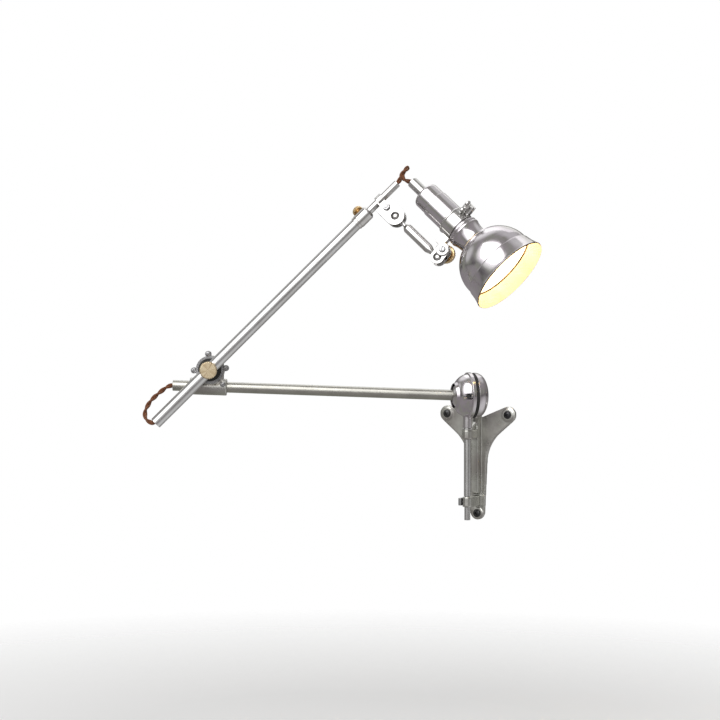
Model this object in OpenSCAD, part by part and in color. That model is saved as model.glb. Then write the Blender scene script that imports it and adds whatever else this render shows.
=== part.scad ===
// Swing arm wall sconce: a cast wall bracket with a vertical pintle, a ball shoulder, a lower tube,
// an elbow clamp, an upper tube with a sliding extension, and a lamp head held by a ball link.
// Frame: the wall is the plane Y = 0, the sconce is on its -Y side, +Z is up.
// The origin is the middle of the bracket's back face.

/* [Wall bracket] */
// Distance of the two ear holes from the centre line
ear_x = 46; // [42:1:50]
// Height of the ear holes above the origin
ear_z = 67.5; // [64:0.5:70]
// Depth of the foot hole below the origin
foot_z = 67.5; // [64:0.5:70]
// Radius of the rounded ears
ear_r = 11.2; // [10:0.1:12]
// Radius of the rounded foot
foot_r = 10.8; // [10:0.1:12]
// Thickness of the bracket's plate
plate_t = 4.5; // [4:0.5:6]
// Radius of the wall screw holes
wall_hole_r = 2.6; // [2:0.1:3]
// Width of the rib down the middle
rib_w = 11; // [9:1:13]
// How far the rib stands proud of the plate
rib_out = 9; // [6:1:12]

/* [Pintle] */
// Distance of the pintle's axis from the wall
pintle_out = 34; // [32:1:38]
// Radius of the pintle between the lugs
pintle_r = 4.7; // [4.5:0.1:5]
// Radius of the pintle's tail, below its step
tail_r = 4; // [3.8:0.1:4.2]
// Radius of the hole for the cord through the pintle
cord_hole_r = 3.1; // [2.8:0.1:3.1]
// Turn of the arms about the pintle in the modelled pose
swing = 30; // [20:1:40]

/* [Shoulder] */
// Height of the ball's centre above the origin
shoulder_z = 93.7; // [92:0.1:96]
// Radius of the ball
ball_r = 22.5; // [22:0.1:22.6]
// Radius of the two shells at their joint
shell_r = 31.5; // [31:0.1:32]
// Radius of the opening that the tube comes out of
mouth_r = 16.5; // [16:0.1:17]
// Turn of the shells about the pintle, measured from the tube
shell_turn = 14; // [10:1:16]

/* [Lower arm] */
// Outer radius of the lower tube
lower_r = 7.15; // [7:0.05:7.2]
// Wall of the lower tube
lower_wall = 1.2; // [1:0.1:1.5]
// Distance from the shoulder to the elbow's pivot, along the lower tube
elbow_reach = 348; // [320:1:380]
// Height of the elbow's pivot above the lower tube's axis
elbow_rise = 23; // [22:0.5:24]
// Length of the lower tube past the pivot
lower_tail = 50; // [46:1:60]
// Rise of the lower tube towards the elbow, in degrees
arm_rise = 2; // [-6:1:6]

/* [Upper arm] */
// Outer radius of the upper tube
upper_r = 7.95; // [7.8:0.05:8]
// Wall of the upper tube
upper_wall = 1.3; // [1:0.1:1.6]
// Distance between the elbow's pivot plane and the upper tube's axis
arm_offset = 24; // [24:0.5:26]
// Length of the upper tube below the pivot
upper_tail = 101; // [95:1:110]
// Distance from the pivot to the coupling's lower end
coupling_at = 277; // [265:1:285]
// Angle between the two tubes, in degrees
elbow_fold = 46.75; // [30:0.25:70]

/* [Extension and link] */
// Outer radius of the sliding extension tube
extension_r = 5; // [4.8:0.1:5.2]
// Distance from the pivot to the extension's open end
extension_end = 354.5; // [350:0.5:358]
// Distance from the pivot to the link, along the upper arm
link_at = 321; // [319:1:323]
// Distance of the upper ball from the upper arm's axis
ball_1 = 33.5; // [33:0.5:34]
// Distance of the lower ball from the upper arm's axis
ball_2 = 117; // [116:0.5:118]
// Radius of the link's two balls
link_ball_r = 7; // [6.9:0.1:7.1]
// Turn of the lamp head about the upper arm, in degrees
head_roll = 21; // [0:1:30]

/* [Lamp head] */
// Distance from the pivot to the lamp head's axis, along the upper arm
head_at = 369.5; // [368:0.5:371]
// Distance of the cord inlet's mouth from the upper arm's axis
inlet_at = 13.8; // [13:0.1:15]
// Radius of the socket cap's lower part
cap_r = 19.3; // [19:0.1:19.6]
// Outer radius of the shade's rim
rim_r = 56.7; // [55:0.1:58]
// Height of the lamp head, from the inlet's mouth to the rim
head_len = 191.5; // [190:0.5:193]
// Thickness of the spun shade
shade_t = 1.1; // [1:0.1:1.3]

/* [Hidden] */
$fn = 64;
e = 0.01;                       // small overlap that keeps cuts clean
fit = 0.05;                     // radial clearance of a running fit
gap = 0.3;                      // gap between curved faces that move past each other
cord_r = 3.1;                   // radius of the twisted two-core cord
metal = [0.78, 0.78, 0.78];
bright = [0.9, 0.9, 0.9];
brass = [0.8, 0.6, 0.3];
black = [0.1, 0.1, 0.1];
brown = [0.42, 0.2, 0.1];

// bracket
lug_arm_w = 10;                 // width of the arms that carry the lugs
upper_lug = [35, 47.5];         // lowest and highest level of each lug
lower_lug = [-56.7, -43];
upper_lug_r = 7.3;
lower_lug_r = 6.6;
bush_r = 6;
bush_flange_t = 1.8;
rib_z = [-39, 60];
wing_slope = 40;                // slope of the wings' lower edges
wing_top_slope = 22;
post_r = 14;                    // half width of the post under the wings
wing_blend = 25;                // length taken by the curve from post to wing
head_square = 10;               // side of the lug set screw's square head

// shoulder, along the shells' axis, forwards positive
joint_z = -6;                   // middle of the gasket
gasket_t = 4.4;
front_face = joint_z + gasket_t / 2;
rear_face = joint_z - gasket_t / 2;
dome_depth = 18;
shell_t = 2.6;
mouth_z = 19.8;
rear_rim_r = 24;
rear_rim_t = 6;
screw_ring_r = 27.5;
shell_screw_angles = [-90, 30, 150];
neck_r = 6.2;
neck_z = 50.2;
seat_r = ball_r + gap;

// elbow
drum_r = 19;
drum_y = [-11.7, 10];
disc_r = 15.3;
disc_y = [9.7, 12.2];           // measured from the upper tube's axis
cover_y = -13.8;
cover_lug_t = 0.7;              // thickness of the cover ring's lugs
screw_seat_r = 3.4;             // flat seat cut beside the ring for each cover screw's head
sleeve_boss = 10.8;             // front of the boss for the sleeve's screw
lug_ring_r = 21.5;
cover_angles = [8, 98, 184];
sleeve_r = 11.3;
sleeve_x = [-27, 23];
bolt_r = 3;
knob_r = 11.8;
knob_y = [-19, -9];             // measured from the upper tube's axis
saddle = [47, 8.2, 15.2];         // along the tube, deep, across

// coupling and extension, measured along the upper arm from the pivot
coupling_len = 25;
coupling_r = 9.5;
coupling_neck_r = 8.9;
tube_stop = coupling_at + 11;
extension_start = 240;
extension_wall = 1.2;
collar_r = 7.25;
collar_len = 9.5;
thumb_turn = 37;                // lean of the thumbscrew from straight back
thumb_at = coupling_at + 14.4;
thumb_r = 7.3;

// link joint plates, measured from the plane of the link
plate_in = 4.6;
plate_out = 6.6;
bolt_1 = 16;                    // upper clamp bolt's distance from the upper arm's axis
plate_r = 12.7;
plate_hole_r = 5.6;
neck_rod_r = 2.4;
rod_r = 6.4;
bolt_2 = [332.5, 115.3];        // lower clamp bolt, along the arm and away from it
lower_plate_r = 9.4;
disc_2_r = 9.1;
wheel_r = 12.5;
wheel_y = [-18.5, -12.5];

// lamp head, measured along its own axis from the inlet's mouth
inlet_r = 7.4;
inlet_bore_r = 4.85;            // wide enough for the cord to lean as it leaves
cap_top = 24;
cap_step = 44.8;
cap_end = 100.5;
band_s = [76.8, 96.7];
band_r = 20.9;
ear_turn = 20;                  // turn of the band's ears towards the room
ear_gap = 3;
ear_t = 3;
ear_len = 33;
socket_s = [50, 96];
socket_r = 16.8;
shell_s = [72, 95];
contact_s = 66;
base_s = [70.6, 98];
bulb_s = 140;                   // centre of the bulb's globe
bulb_r = 24;
glass_t = 0.9;
neck_s = [98.2, 125];
crease_s = 170.5;

// cord routes: hand-laid points in mm
// elbow loop, in the frame of the shoulder: X away from the elbow, -Y to the room, Z up
ELBOW_CORD = [
    [-391, 0, 14], [-398, 0, 14], [-405, -1, 12], [-412, -3, 7], [-419, -6, 1], [-426, -9, -6],
    [-431, -12, -14], [-433.5, -15, -21], [-433, -19, -28], [-429, -22, -33], [-423, -24, -35.5],
    [-417.5, -24, -33.5], [-413, -24, -29.5]];
// head loop, in the frame of the lamp head: X along the arm, Y to the room, Z towards the shade
HEAD_CORD = [
    [347, 0, 0], [354, 0, 0], [359.5, -1.5, -1.5], [364.5, -5, -5], [369, -8, -8], [374, -8, -8.5],
    [377.5, -4.5, -7], [378.5, 0, -5.5], [377.5, 4.5, -3.5], [374, 8, -2], [369, 9, -1],
    [365, 8.5, 2], [364, 6, 6.5], [366.5, 2.5, 10.5], [369, 0.5, 14], [369.5, 0, 18], [369.5, 0, 23]];

// ---- frames ----

module at_shoulder() translate([0, -pintle_out, shoulder_z]) rotate([0, 0, swing]) children();

// Z along the shells' axis, out of the opening; X up
module at_shell() at_shoulder() rotate([0, 0, shell_turn]) rotate([0, -90, 0]) children();

// the lower tube lies along -X
module at_lower_arm() at_shoulder() rotate([0, arm_rise, 0]) children();

module at_elbow() at_lower_arm() translate([-elbow_reach, 0, elbow_rise]) children();

// the upper tube lies along X
module at_upper_arm()
    at_elbow() translate([0, -arm_offset, 0]) rotate([0, -elbow_fold, 0]) children();

// X along the upper arm, Y towards the room, Z from the arm to the shade
module at_head_plane() at_upper_arm() rotate([180 - head_roll, 0, 0]) children();

// Z along the lamp head, from the inlet's mouth to the rim
module at_head() at_head_plane() translate([head_at, 0, inlet_at]) children();

// ---- shared shapes ----

function arc(c, r, a0, a1, n) =
    [for (i = [0:n]) let (a = a0 + (a1 - a0) * i / n) c + r * [cos(a), sin(a)]];

function mirrored(pts) = [for (i = [len(pts) - 1:-1:0]) [-pts[i][0], pts[i][1]]];

// a tube or rod between two levels
module post(r, z0, z1) translate([0, 0, z0]) cylinder(r = r, h = z1 - z0);

module ring(r_out, r_in, z0, z1) difference() {
    post(r_out, z0, z1);
    post(r_in, z0 - 1, z1 + 1);
}

module along_x() rotate([0, 90, 0]) children();

// Z turned to -Y and to +Y
module to_front() rotate([90, 0, 0]) children();
module to_back() rotate([-90, 0, 0]) children();

// pan head screw: the head stands on Z = 0, the shank goes down
module slotted_screw(head_r, head_h, shank_r, shank_l) difference() {
    union() {
        post(head_r, 0, head_h * 0.6);
        translate([0, 0, head_h * 0.6])
            cylinder(r1 = head_r, r2 = head_r * 0.72, h = head_h * 0.4);
        post(shank_r, -shank_l, e);
    }
    translate([-head_r - 1, -0.5, head_h * 0.45]) cube([2 * head_r + 2, 1, head_h]);
}

module hexagon(across, z0, z1)
    translate([0, 0, z0]) cylinder(r = across / 2 / cos(30), h = z1 - z0, $fn = 6);

// ---- sweep of a cord along its route ----

function unit(v) = v / norm(v);
function tangent(p, i) = unit(p[min(i + 1, len(p) - 1)] - p[max(i - 1, 0)]);
function squared_off(n, t) = unit(n - t * (n * t));
function normals(p, i, n) = i == len(p) ? [] :
    let (m = squared_off(n, tangent(p, i))) concat([m], normals(p, i + 1, m));

module cord(route, start_normal, sides = 10) {
    n = normals(route, 0, start_normal);
    last = len(route) - 1;
    points = [for (i = [0:last]) let (b = cross(tangent(route, i), n[i]))
        for (k = [0:sides - 1]) let (a = 360 * k / sides)
            route[i] + cord_r * (cos(a) * n[i] + sin(a) * b)];
    walls = [for (i = [0:last - 1]) for (k = [0:sides - 1]) let (m = (k + 1) % sides)
        [i * sides + k, (i + 1) * sides + k, (i + 1) * sides + m, i * sides + m]];
    polyhedron(points, concat(walls,
        [[for (k = [0:sides - 1]) k], [for (k = [sides - 1:-1:0]) last * sides + k]]));
}

// ---- wall bracket ----

function bracket_half() =
    let (ear = [ear_x, ear_z],
         low = ear + ear_r * [cos(wing_slope - 90), sin(wing_slope - 90)],
         corner = [post_r, low[1] - (low[0] - post_r) * tan(wing_slope)],
         blend_r = wing_blend / tan((90 - wing_slope) / 2),
         top = ear + ear_r * [cos(wing_top_slope + 90), sin(wing_top_slope + 90)])
    concat(
        arc([0, -foot_z + 2], foot_r, -90, 0, 8),
        arc(corner + [blend_r, -wing_blend], blend_r, 180, 90 + wing_slope, 10),
        arc(ear, ear_r, wing_slope - 90, wing_top_slope + 90, 16),
        [[0, top[1] - top[0] * tan(wing_top_slope)]]);

module bracket_plate() to_front() linear_extrude(plate_t)
    polygon(concat(bracket_half(), mirrored(bracket_half())));

// the rib and its sloping ends, seen from the side
module bracket_rib() translate([-rib_w / 2, 0, 0]) rotate([90, 0, 90]) linear_extrude(rib_w)
    polygon([[0, rib_z[0] - 3], [-plate_t - rib_out, rib_z[0]], [-plate_t - rib_out, rib_z[1] - 8],
             [-plate_t - 2, rib_z[1] + 8], [0, rib_z[1] + 8]]);

module lug(r, z) {
    translate([0, -pintle_out, 0]) post(r, z[0], z[1]);
    translate([-lug_arm_w / 2, -pintle_out, z[0]])
        cube([lug_arm_w, pintle_out - 1, z[1] - z[0]]);
}

// sloping gusset from the upper lug's arm up to the rib
module lug_gusset() translate([-2.5, 0, 0]) rotate([90, 0, 90]) linear_extrude(5)
    polygon([[-pintle_out + 8, upper_lug[1] - e], [-plate_t, upper_lug[1] - e],
             [-plate_t, rib_z[1] + 2]]);

module bracket_casting() color(metal) difference() {
    union() {
        bracket_plate();
        bracket_rib();
        lug(upper_lug_r, upper_lug);
        lug(lower_lug_r, lower_lug);
        lug_gusset();
        for (s = [-1, 1]) translate([s * ear_x, -plate_t, ear_z]) to_front() post(7.6, -e, 1);
        translate([0, -plate_t, -foot_z]) to_front() post(7.6, -e, 1);
    }
    for (s = [-1, 1]) translate([s * ear_x, 1, ear_z]) to_front() post(wall_hole_r, 0, 12);
    translate([0, 1, -foot_z]) to_front() post(wall_hole_r, 0, 12);
    translate([0, -pintle_out, 0]) {
        post(bush_r, upper_lug[0] - 1, upper_lug[1] + 1);
        post(tail_r + fit, lower_lug[0] - 1, lower_lug[1] + 1);
    }
    translate([0, -pintle_out, (lower_lug[0] + lower_lug[1]) / 2]) along_x() post(2, -20, 0);
}

module upper_bush() color(brass) translate([0, -pintle_out, 0]) difference() {
    union() {
        post(bush_r, upper_lug[0], upper_lug[1] + e);
        post(upper_lug_r, upper_lug[1], upper_lug[1] + bush_flange_t);
    }
    post(pintle_r + fit, upper_lug[0] - 1, upper_lug[1] + 5);
}

module lug_set_screw() color(metal)
    translate([0, -pintle_out, (lower_lug[0] + lower_lug[1]) / 2]) along_x() {
        post(2, -lower_lug_r - 1, -tail_r - gap);
        translate([-head_square / 2, -head_square / 2, -lower_lug_r - 4.8])
            cube([head_square, head_square, 4.5]);
    }

// ---- pintle and shoulder shells ----

module pintle_tube() color(metal) translate([0, -pintle_out, 0]) difference() {
    union() {
        post(tail_r, -74.5, lower_lug[1] + 1);
        post(pintle_r, lower_lug[1] + 0.1, shoulder_z - shell_r + 1);
    }
    post(cord_hole_r, -80, shoulder_z);
}

function dome(r, depth, n = 14) =
    [for (i = [0:n]) let (a = 90 * i / n) [r * pow(cos(a), 0.8), rear_face - depth * pow(sin(a), 0.8)]];

// clearance holes or blind holes for the shell screws
module shell_screw_holes(r, z0, z1)
    for (a = shell_screw_angles) rotate([0, 0, a]) translate([screw_ring_r, 0, 0]) post(r, z0, z1);

module front_shell() color(metal) {
    difference() {
        union() {
            at_shell() rotate_extrude() polygon(concat(
                [[26.5, front_face], [shell_r, front_face], [shell_r, 0.5], [shell_r - 1, 1.2],
                 [shell_r - 2.4, 1.6]],
                arc([8.6, -2.4], 21, 11, 61, 10),
                [[mouth_r, mouth_z], [mouth_r, mouth_z - 2]],
                [[20.6, 13.4], [24, 8], [26.5, 3]]));
            translate([0, -pintle_out, 0]) post(neck_r, neck_z, shoulder_z - 26);
        }
        at_shell() post(shell_r + 1, rear_face - 30, front_face);
        at_shell() post(26.5, front_face - 1, 3);
        at_shell() shell_screw_holes(2, front_face - 1, 5);
        at_shell() shell_screw_holes(4.2, 1.2, 30);
        translate([0, -pintle_out, 0]) {
            post(pintle_r, neck_z - 1, shoulder_z - shell_r + 1);
            post(cord_hole_r, neck_z, shoulder_z - 20);
        }
    }
}

module rear_shell() color(metal) at_shell() difference() {
    rotate_extrude() polygon(concat(dome(shell_r - 0.5, dome_depth), [[0, rear_face]]));
    rotate_extrude() polygon(concat(
        [[rear_rim_r, rear_face + 1], [rear_rim_r, rear_face - rear_rim_t]],
        [for (p = dome(25.5, dome_depth - shell_t)) if (p[1] < rear_face - rear_rim_t) p],
        [[0, rear_face + 1]]));
    shell_screw_holes(1.8, rear_face - 4.5, rear_face + 1);
}

module shell_gasket() color(black) at_shell() difference() {
    ring(shell_r - 1.6, rear_rim_r, rear_face, front_face);
    shell_screw_holes(2, rear_face - 1, front_face + 1);
}

// rings with a spherical face that hold the ball
module front_seat() color(black) at_shell() difference() {
    rotate_extrude() polygon([[18, 4], [25.6, 4], [23.8, 7.8], [20.4, 13.1], [18, 14]]);
    sphere(r = seat_r, $fn = 96);
}

module rear_seat() color(black) at_shell() difference() {
    ring(rear_rim_r, 15, rear_face - rear_rim_t, rear_face - 1);
    sphere(r = seat_r, $fn = 96);
}

module shell_screws() color(metal) at_shell()
    for (a = shell_screw_angles) rotate([0, 0, a]) translate([screw_ring_r, 0, 1.2])
        slotted_screw(3.3, 2.2, 1.8, 1.2 - rear_face + 4);

// ---- lower arm ----

module shoulder_ball() color(bright) at_lower_arm() along_x() rotate_extrude() difference() {
    circle(r = ball_r);
    translate([-50, -50]) square([50 + 5.5, 100]);
    translate([-1, -ball_r - 1]) square([1 + lower_r, ball_r - 8]);
}

module lower_tube() color(metal) at_lower_arm() along_x()
    ring(lower_r, lower_r - lower_wall, -elbow_reach - lower_tail, -9);

// insulating bush set just inside a tube's mouth
module mouth_bush(bore_r, hole_r, z0, z1) color(black) ring(bore_r, hole_r, z0, z1);

module lower_tube_bush() at_lower_arm() along_x()
    mouth_bush(lower_r - lower_wall, cord_r + 0.2, -elbow_reach - lower_tail + 1, -elbow_reach - lower_tail + 6);

module cover_lugs(z0, z1)
    for (a = cover_angles) rotate([0, 0, a]) translate([lug_ring_r, 0, 0]) post(4.1, z0, z1);

module elbow_casting() color(metal) at_elbow() difference() {
    union() {
        to_front() post(drum_r, -drum_y[1], -drum_y[0]);
        to_front() cover_lugs(2, -drum_y[0]);
        translate([-17, drum_y[0] + 1.5, -elbow_rise])
            cube([35, drum_y[1] - drum_y[0] - 2.5, elbow_rise - 3]);
        translate([0, 0, -elbow_rise]) along_x() post(sleeve_r, sleeve_x[0], sleeve_x[1]);
        translate([sleeve_x[1] - 5, 0, -elbow_rise + 4]) to_front() post(4.6, 2, sleeve_boss);
    }
    translate([0, 0, -elbow_rise]) along_x() post(lower_r, -40, 40);
    to_front() post(bolt_r + fit, -20, 20);
    to_front() for (a = cover_angles) rotate([0, 0, a]) translate([lug_ring_r, 0, 0])
        post(1.6, -drum_y[0] - 4.2, 20);
    translate([sleeve_x[1] - 5, 0, -elbow_rise + 4]) to_front() {
        post(2.1, 1, 20);
        post(3.9, sleeve_boss, 20);
    }
}

module elbow_cover_ring() color(bright) at_elbow() to_front() difference() {
    union() {
        post(drum_r - 0.4, -drum_y[0], -cover_y);
        cover_lugs(-drum_y[0], cover_lug_t - drum_y[0]);
    }
    post(disc_r + gap, -drum_y[0] - 1, 20);
    for (a = cover_angles) rotate([0, 0, a]) translate([lug_ring_r, 0, 0]) {
        post(1.7, 10, 20);
        post(screw_seat_r, cover_lug_t - drum_y[0], 20);
    }
}

module elbow_cover_screws() color(metal) at_elbow() to_front()
    for (a = cover_angles) rotate([0, 0, a]) translate([lug_ring_r, 0, cover_lug_t - drum_y[0]])
        rotate([0, 0, 40]) slotted_screw(3.3, 1.6, 1.5, 4.5);

module sleeve_screw() color(metal) at_elbow()
    translate([sleeve_x[1] - 5, 0, -elbow_rise + 4]) to_front() translate([0, 0, sleeve_boss])
        slotted_screw(3.6, 2.2, 2, 3.5);

module elbow_cord() color(brown) at_shoulder() cord(ELBOW_CORD, [0, 1, 0]);

// ---- elbow pivot and upper arm ----

module friction_disc() color(black) at_upper_arm() to_back()
    ring(disc_r, bolt_r, disc_y[0], disc_y[1]);

module tube_saddle() color(metal) at_upper_arm() difference() {
    translate([-saddle[0] / 2, disc_y[0] - saddle[1], -saddle[2] / 2]) cube(saddle);
    along_x() post(upper_r, -60, 60);
    to_back() post(bolt_r, 0, 20);
}

module upper_tube() color(metal) at_upper_arm() difference() {
    along_x() ring(upper_r, upper_r - upper_wall, -upper_tail, tube_stop - 0.2);
    to_back() post(bolt_r, -20, 20);
}

module upper_tube_bush() at_upper_arm() along_x()
    mouth_bush(upper_r - upper_wall, cord_r + 2.4, -upper_tail + 1, -upper_tail + 6);

// the head is behind the elbow casting, the threaded end is in the knob
module pivot_bolt() color(metal) at_upper_arm() to_back() {
    post(bolt_r, knob_y[0] + 2.5, arm_offset + drum_y[1] + 1);
    hexagon(10, arm_offset + drum_y[1] + 0.1, arm_offset + drum_y[1] + 5);
}

module knob_washer() color(metal) at_upper_arm() to_back()
    ring(6.5, bolt_r, knob_y[1] + 0.05, -upper_r);

module elbow_knob() color(brass) at_upper_arm() to_back() difference() {
    union() {
        post(knob_r, knob_y[0] + 1, knob_y[1] - 2.5);
        translate([0, 0, knob_y[0]]) cylinder(r1 = knob_r - 1, r2 = knob_r, h = 1);
        post(8, knob_y[1] - 3, knob_y[1]);
    }
    post(bolt_r + fit, knob_y[0] + 2.4, 0);
    for (a = [0:15:345]) rotate([0, 0, a]) translate([knob_r + 0.6, 0, 0])
        post(1.1, knob_y[0] - 1, knob_y[1]);
}

// ---- coupling and sliding extension ----

module at_thumb() at_upper_arm() translate([thumb_at, 0, 0]) rotate([thumb_turn, 0, 0]) children();

module coupling_sleeve() color(bright) difference() {
    at_upper_arm() along_x() rotate_extrude() polygon([
        [extension_r + fit, tube_stop], [upper_r + fit, tube_stop], [upper_r + fit, coupling_at],
        [coupling_neck_r, coupling_at], [coupling_neck_r, coupling_at + 4],
        [coupling_r, coupling_at + 4.4], [coupling_r, coupling_at + coupling_len - 3],
        [coupling_r - 2.6, coupling_at + coupling_len], [extension_r + fit, coupling_at + coupling_len]]);
    at_thumb() to_back() post(2.3 + fit, 0, 20);
}

module coupling_thumbscrew() color(brass) at_thumb() to_back() difference() {
    union() {
        post(2.3, extension_r + gap, 16);
        post(3.8, coupling_r + 0.6, 15.5);
        post(thumb_r, 15, 20);
    }
    for (a = [0:20:340]) rotate([0, 0, a]) translate([thumb_r + 0.5, 0, 0]) post(0.9, 14, 21);
}

module extension_tube() color(bright) at_upper_arm() along_x()
    ring(extension_r, extension_r - extension_wall, extension_start, extension_end);

module extension_bush() at_upper_arm() along_x()
    mouth_bush(extension_r - extension_wall, cord_r + 0.2, extension_end - 5, extension_end - 1);

module tube_collar() color(bright) at_head_plane() difference() {
    union() {
        translate([link_at + 2, 0, 0]) along_x() post(collar_r, -collar_len / 2, collar_len / 2);
        translate([link_at - 4.5, -plate_in, 0]) cube([10, 2 * plate_in, bolt_1]);
        translate([link_at + 0.5, 0, bolt_1]) to_back() post(5, -plate_in, plate_in);
    }
    along_x() post(extension_r, 300, 340);
    translate([link_at + 0.5, 0, bolt_1]) to_back() post(2.5, -10, 10);
}

module link_plate() difference() {
    union() {
        translate([link_at, 0, ball_1]) to_front() post(plate_r, plate_in, plate_out);
        translate([link_at - plate_r, -plate_out, 9]) cube([2 * plate_r, plate_out - plate_in, ball_1 - 9]);
    }
    translate([link_at, 0, ball_1]) to_front() post(plate_hole_r, 0, 10);
    translate([link_at + 0.5, 0, bolt_1]) to_front() post(2.5, 0, 10);
}

module link_plate_front() color(bright) at_head_plane() mirror([0, 1, 0]) link_plate();
module link_plate_back() color(bright) at_head_plane() link_plate();

module at_link_bolt() at_head_plane() translate([link_at + 0.5, 0, bolt_1]) to_back() children();

module link_bolt() color(metal) at_link_bolt() {
    post(2.5, -plate_out - 3.5, plate_out + 4.5);
    hexagon(8, -plate_out - 3.5, -plate_out);
}

module link_nut() color(metal) at_link_bolt() difference() {
    union() {
        hexagon(9, plate_out + 0.6, plate_out + 4);
        post(5.4, plate_out, plate_out + 0.6);
    }
    post(2.5, plate_out - 1, plate_out + 6);
}

module head_cord() color(brown) at_head_plane() cord(HEAD_CORD, [0, 1, 0]);

// ---- ball link ----

module at_link() at_head_plane() translate([link_at, 0, 0]) children();

module link_rod() color(bright) at_link() rotate_extrude() polygon([
    [0, ball_1 + 18.5], [neck_rod_r + 1, ball_1 + 18.5], [rod_r, ball_1 + 23], [rod_r, ball_2 - 19.5],
    [neck_rod_r + 0.8, ball_2 - 10.5], [0, ball_2 - 10.5]]);

module upper_ball_stud() color(bright) at_link() union() {
    translate([0, 0, ball_1]) sphere(r = link_ball_r);
    post(neck_rod_r, ball_1, ball_1 + 18.5);
}

module lower_ball_stud() color(bright) at_link() union() {
    translate([0, 0, ball_2]) sphere(r = link_ball_r);
    post(neck_rod_r, ball_2 - 10.5, ball_2);
}

// ---- clamp band and lower joint ----

module at_head_bolt() at_head_plane() translate([bolt_2[0], 0, bolt_2[1]]) to_back() children();

// the two ears beside the slit, turned towards the room
module band_ears() rotate([0, 0, ear_turn]) for (s = [-1, 1])
    translate([cap_r + 0.4, s * (ear_gap + ear_t) / 2 - ear_t / 2, band_s[0] + 3.5])
        cube([ear_len - cap_r, ear_t, band_s[1] - band_s[0] - 6.5]);

module clamp_band() color(bright) difference() {
    union() {
        at_head() {
            post(band_r, band_s[0], band_s[1]);
            post(band_r + 0.5, band_s[0] + 1, band_s[0] + 3);
            band_ears();
        }
        at_head_plane() {
            translate([bolt_2[0] + 2, -plate_in, inlet_at + band_s[1] - 12])
                cube([head_at - bolt_2[0] - cap_r - 3, 2 * plate_in, 11.5]);
            translate([bolt_2[0] - 3.6, -plate_in, bolt_2[1] - 7])
                cube([10.1, 2 * plate_in, 7.6]);
        }
        at_head_bolt() post(4.1, -plate_in, plate_in);
    }
    at_head() {
        post(cap_r + 0.06, band_s[0] - 5, band_s[1] + 30);
        rotate([0, 0, ear_turn]) translate([10, -ear_gap / 2, band_s[0] - 5])
            cube([40, ear_gap, band_s[1] - band_s[0] + 10]);
        at_wing_hole() post(2.2 + fit, -12, 12);
    }
    at_head_bolt() post(2.5, -10, 10);
}

// the axis across the ears, in the lamp head's frame
module at_wing_hole() rotate([0, 0, ear_turn])
    translate([ear_len - 4.5, 0, (band_s[0] + band_s[1]) / 2]) to_back() children();

module head_plate() difference() {
    union() {
        translate([link_at, 0, ball_2]) to_front() post(lower_plate_r, plate_in, plate_out);
        translate([bolt_2[0], 0, bolt_2[1]]) to_front() post(lower_plate_r, plate_in, plate_out);
        translate([link_at, -plate_out, bolt_2[1] - lower_plate_r])
            cube([bolt_2[0] - link_at, plate_out - plate_in, 2 * lower_plate_r]);
    }
    translate([link_at, 0, ball_2]) to_front() post(plate_hole_r, 0, 10);
    translate([bolt_2[0], 0, bolt_2[1]]) to_front() post(2.5, 0, 10);
}

module head_plate_front() color(bright) at_head_plane() mirror([0, 1, 0]) head_plate();
module head_plate_back() color(bright) at_head_plane() head_plate();

module head_bolt() color(metal) at_head_bolt() {
    post(2.5, wheel_y[0] + 2.5, plate_out + 3);
    post(4.6, plate_out + 2.2, plate_out + 5);
}

module head_disc() color(bright) at_head_bolt() difference() {
    union() {
        post(disc_2_r, plate_out, plate_out + 1.4);
        translate([0, 0, plate_out + 1.4]) cylinder(r1 = disc_2_r, r2 = disc_2_r - 1.2, h = 0.8);
    }
    post(2.5, plate_out - 1, plate_out + 4);
}

module thumb_nut() color(brass) at_head_bolt() difference() {
    union() {
        post(wheel_r, wheel_y[0], wheel_y[1]);
        post(6, wheel_y[1] - e, -plate_out - 0.1);
    }
    post(2.5 + fit, wheel_y[0] + 2.4, 0);
    for (a = [0:15:345]) rotate([0, 0, a]) translate([wheel_r + 0.7, 0, 0])
        post(1.3, wheel_y[0] - 1, wheel_y[1] + 1);
}

module wing_screw() color(bright) at_head() at_wing_hole() {
    post(2.2, -9, 8);
    post(3.6, 5.2, 11);
    for (s = [-1, 1]) translate([s * 5.6, 0, 12]) rotate([90, 0, 0]) post(4.6, -1.2, 1.2);
    translate([-5, -1.2, 8]) cube([10, 2.4, 4]);
}

// ---- lamp head ----

module cord_inlet() color(bright) at_head() rotate_extrude() polygon([
    [inlet_bore_r, 0], [inlet_r - 0.7, 0], [inlet_r, 0.8], [inlet_r, cap_top - 1.5], [inlet_r + 1.4, cap_top],
    [inlet_r + 1.4, cap_top + 0.2], [5.6, cap_top + 0.2], [5.6, cap_top + 5], [inlet_bore_r, cap_top + 5]]);

module socket_cap() color(metal) at_head() rotate_extrude() polygon(concat(
    [[5.6, cap_top + 0.2], [13.4, cap_top + 0.2]],
    arc([13.4, cap_top + 5.2], 5, -90, 0, 8),
    [[cap_r - 0.9, cap_top + 5.2], [cap_r - 0.9, cap_step], [cap_r, cap_step + 0.6], [cap_r, cap_end],
     [cap_r - 1.8, cap_end], [cap_r - 1.8, cap_step - 4], [cap_r - 2.4, cap_step - 5],
     [cap_r - 2.4, cap_top + 5], [13, cap_top + 2.2], [5.6, cap_top + 2.2]]));

// porcelain body with the cavity for the screw shell and two wiring holes
module socket_body() color([0.95, 0.94, 0.9]) at_head() difference() {
    union() {
        post(socket_r, socket_s[0], socket_s[1]);
        post(cap_r - 1.8, cap_step + 8, socket_s[0] + 8);
    }
    post(13.6, contact_s - 0.5, 100);
    for (s = [-1, 1]) translate([s * 8, 0, 0]) post(1.6, 40, 70);
}

module screw_shell() color(brass) at_head() ring(13.6, 13.2, shell_s[0], shell_s[1]);

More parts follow.
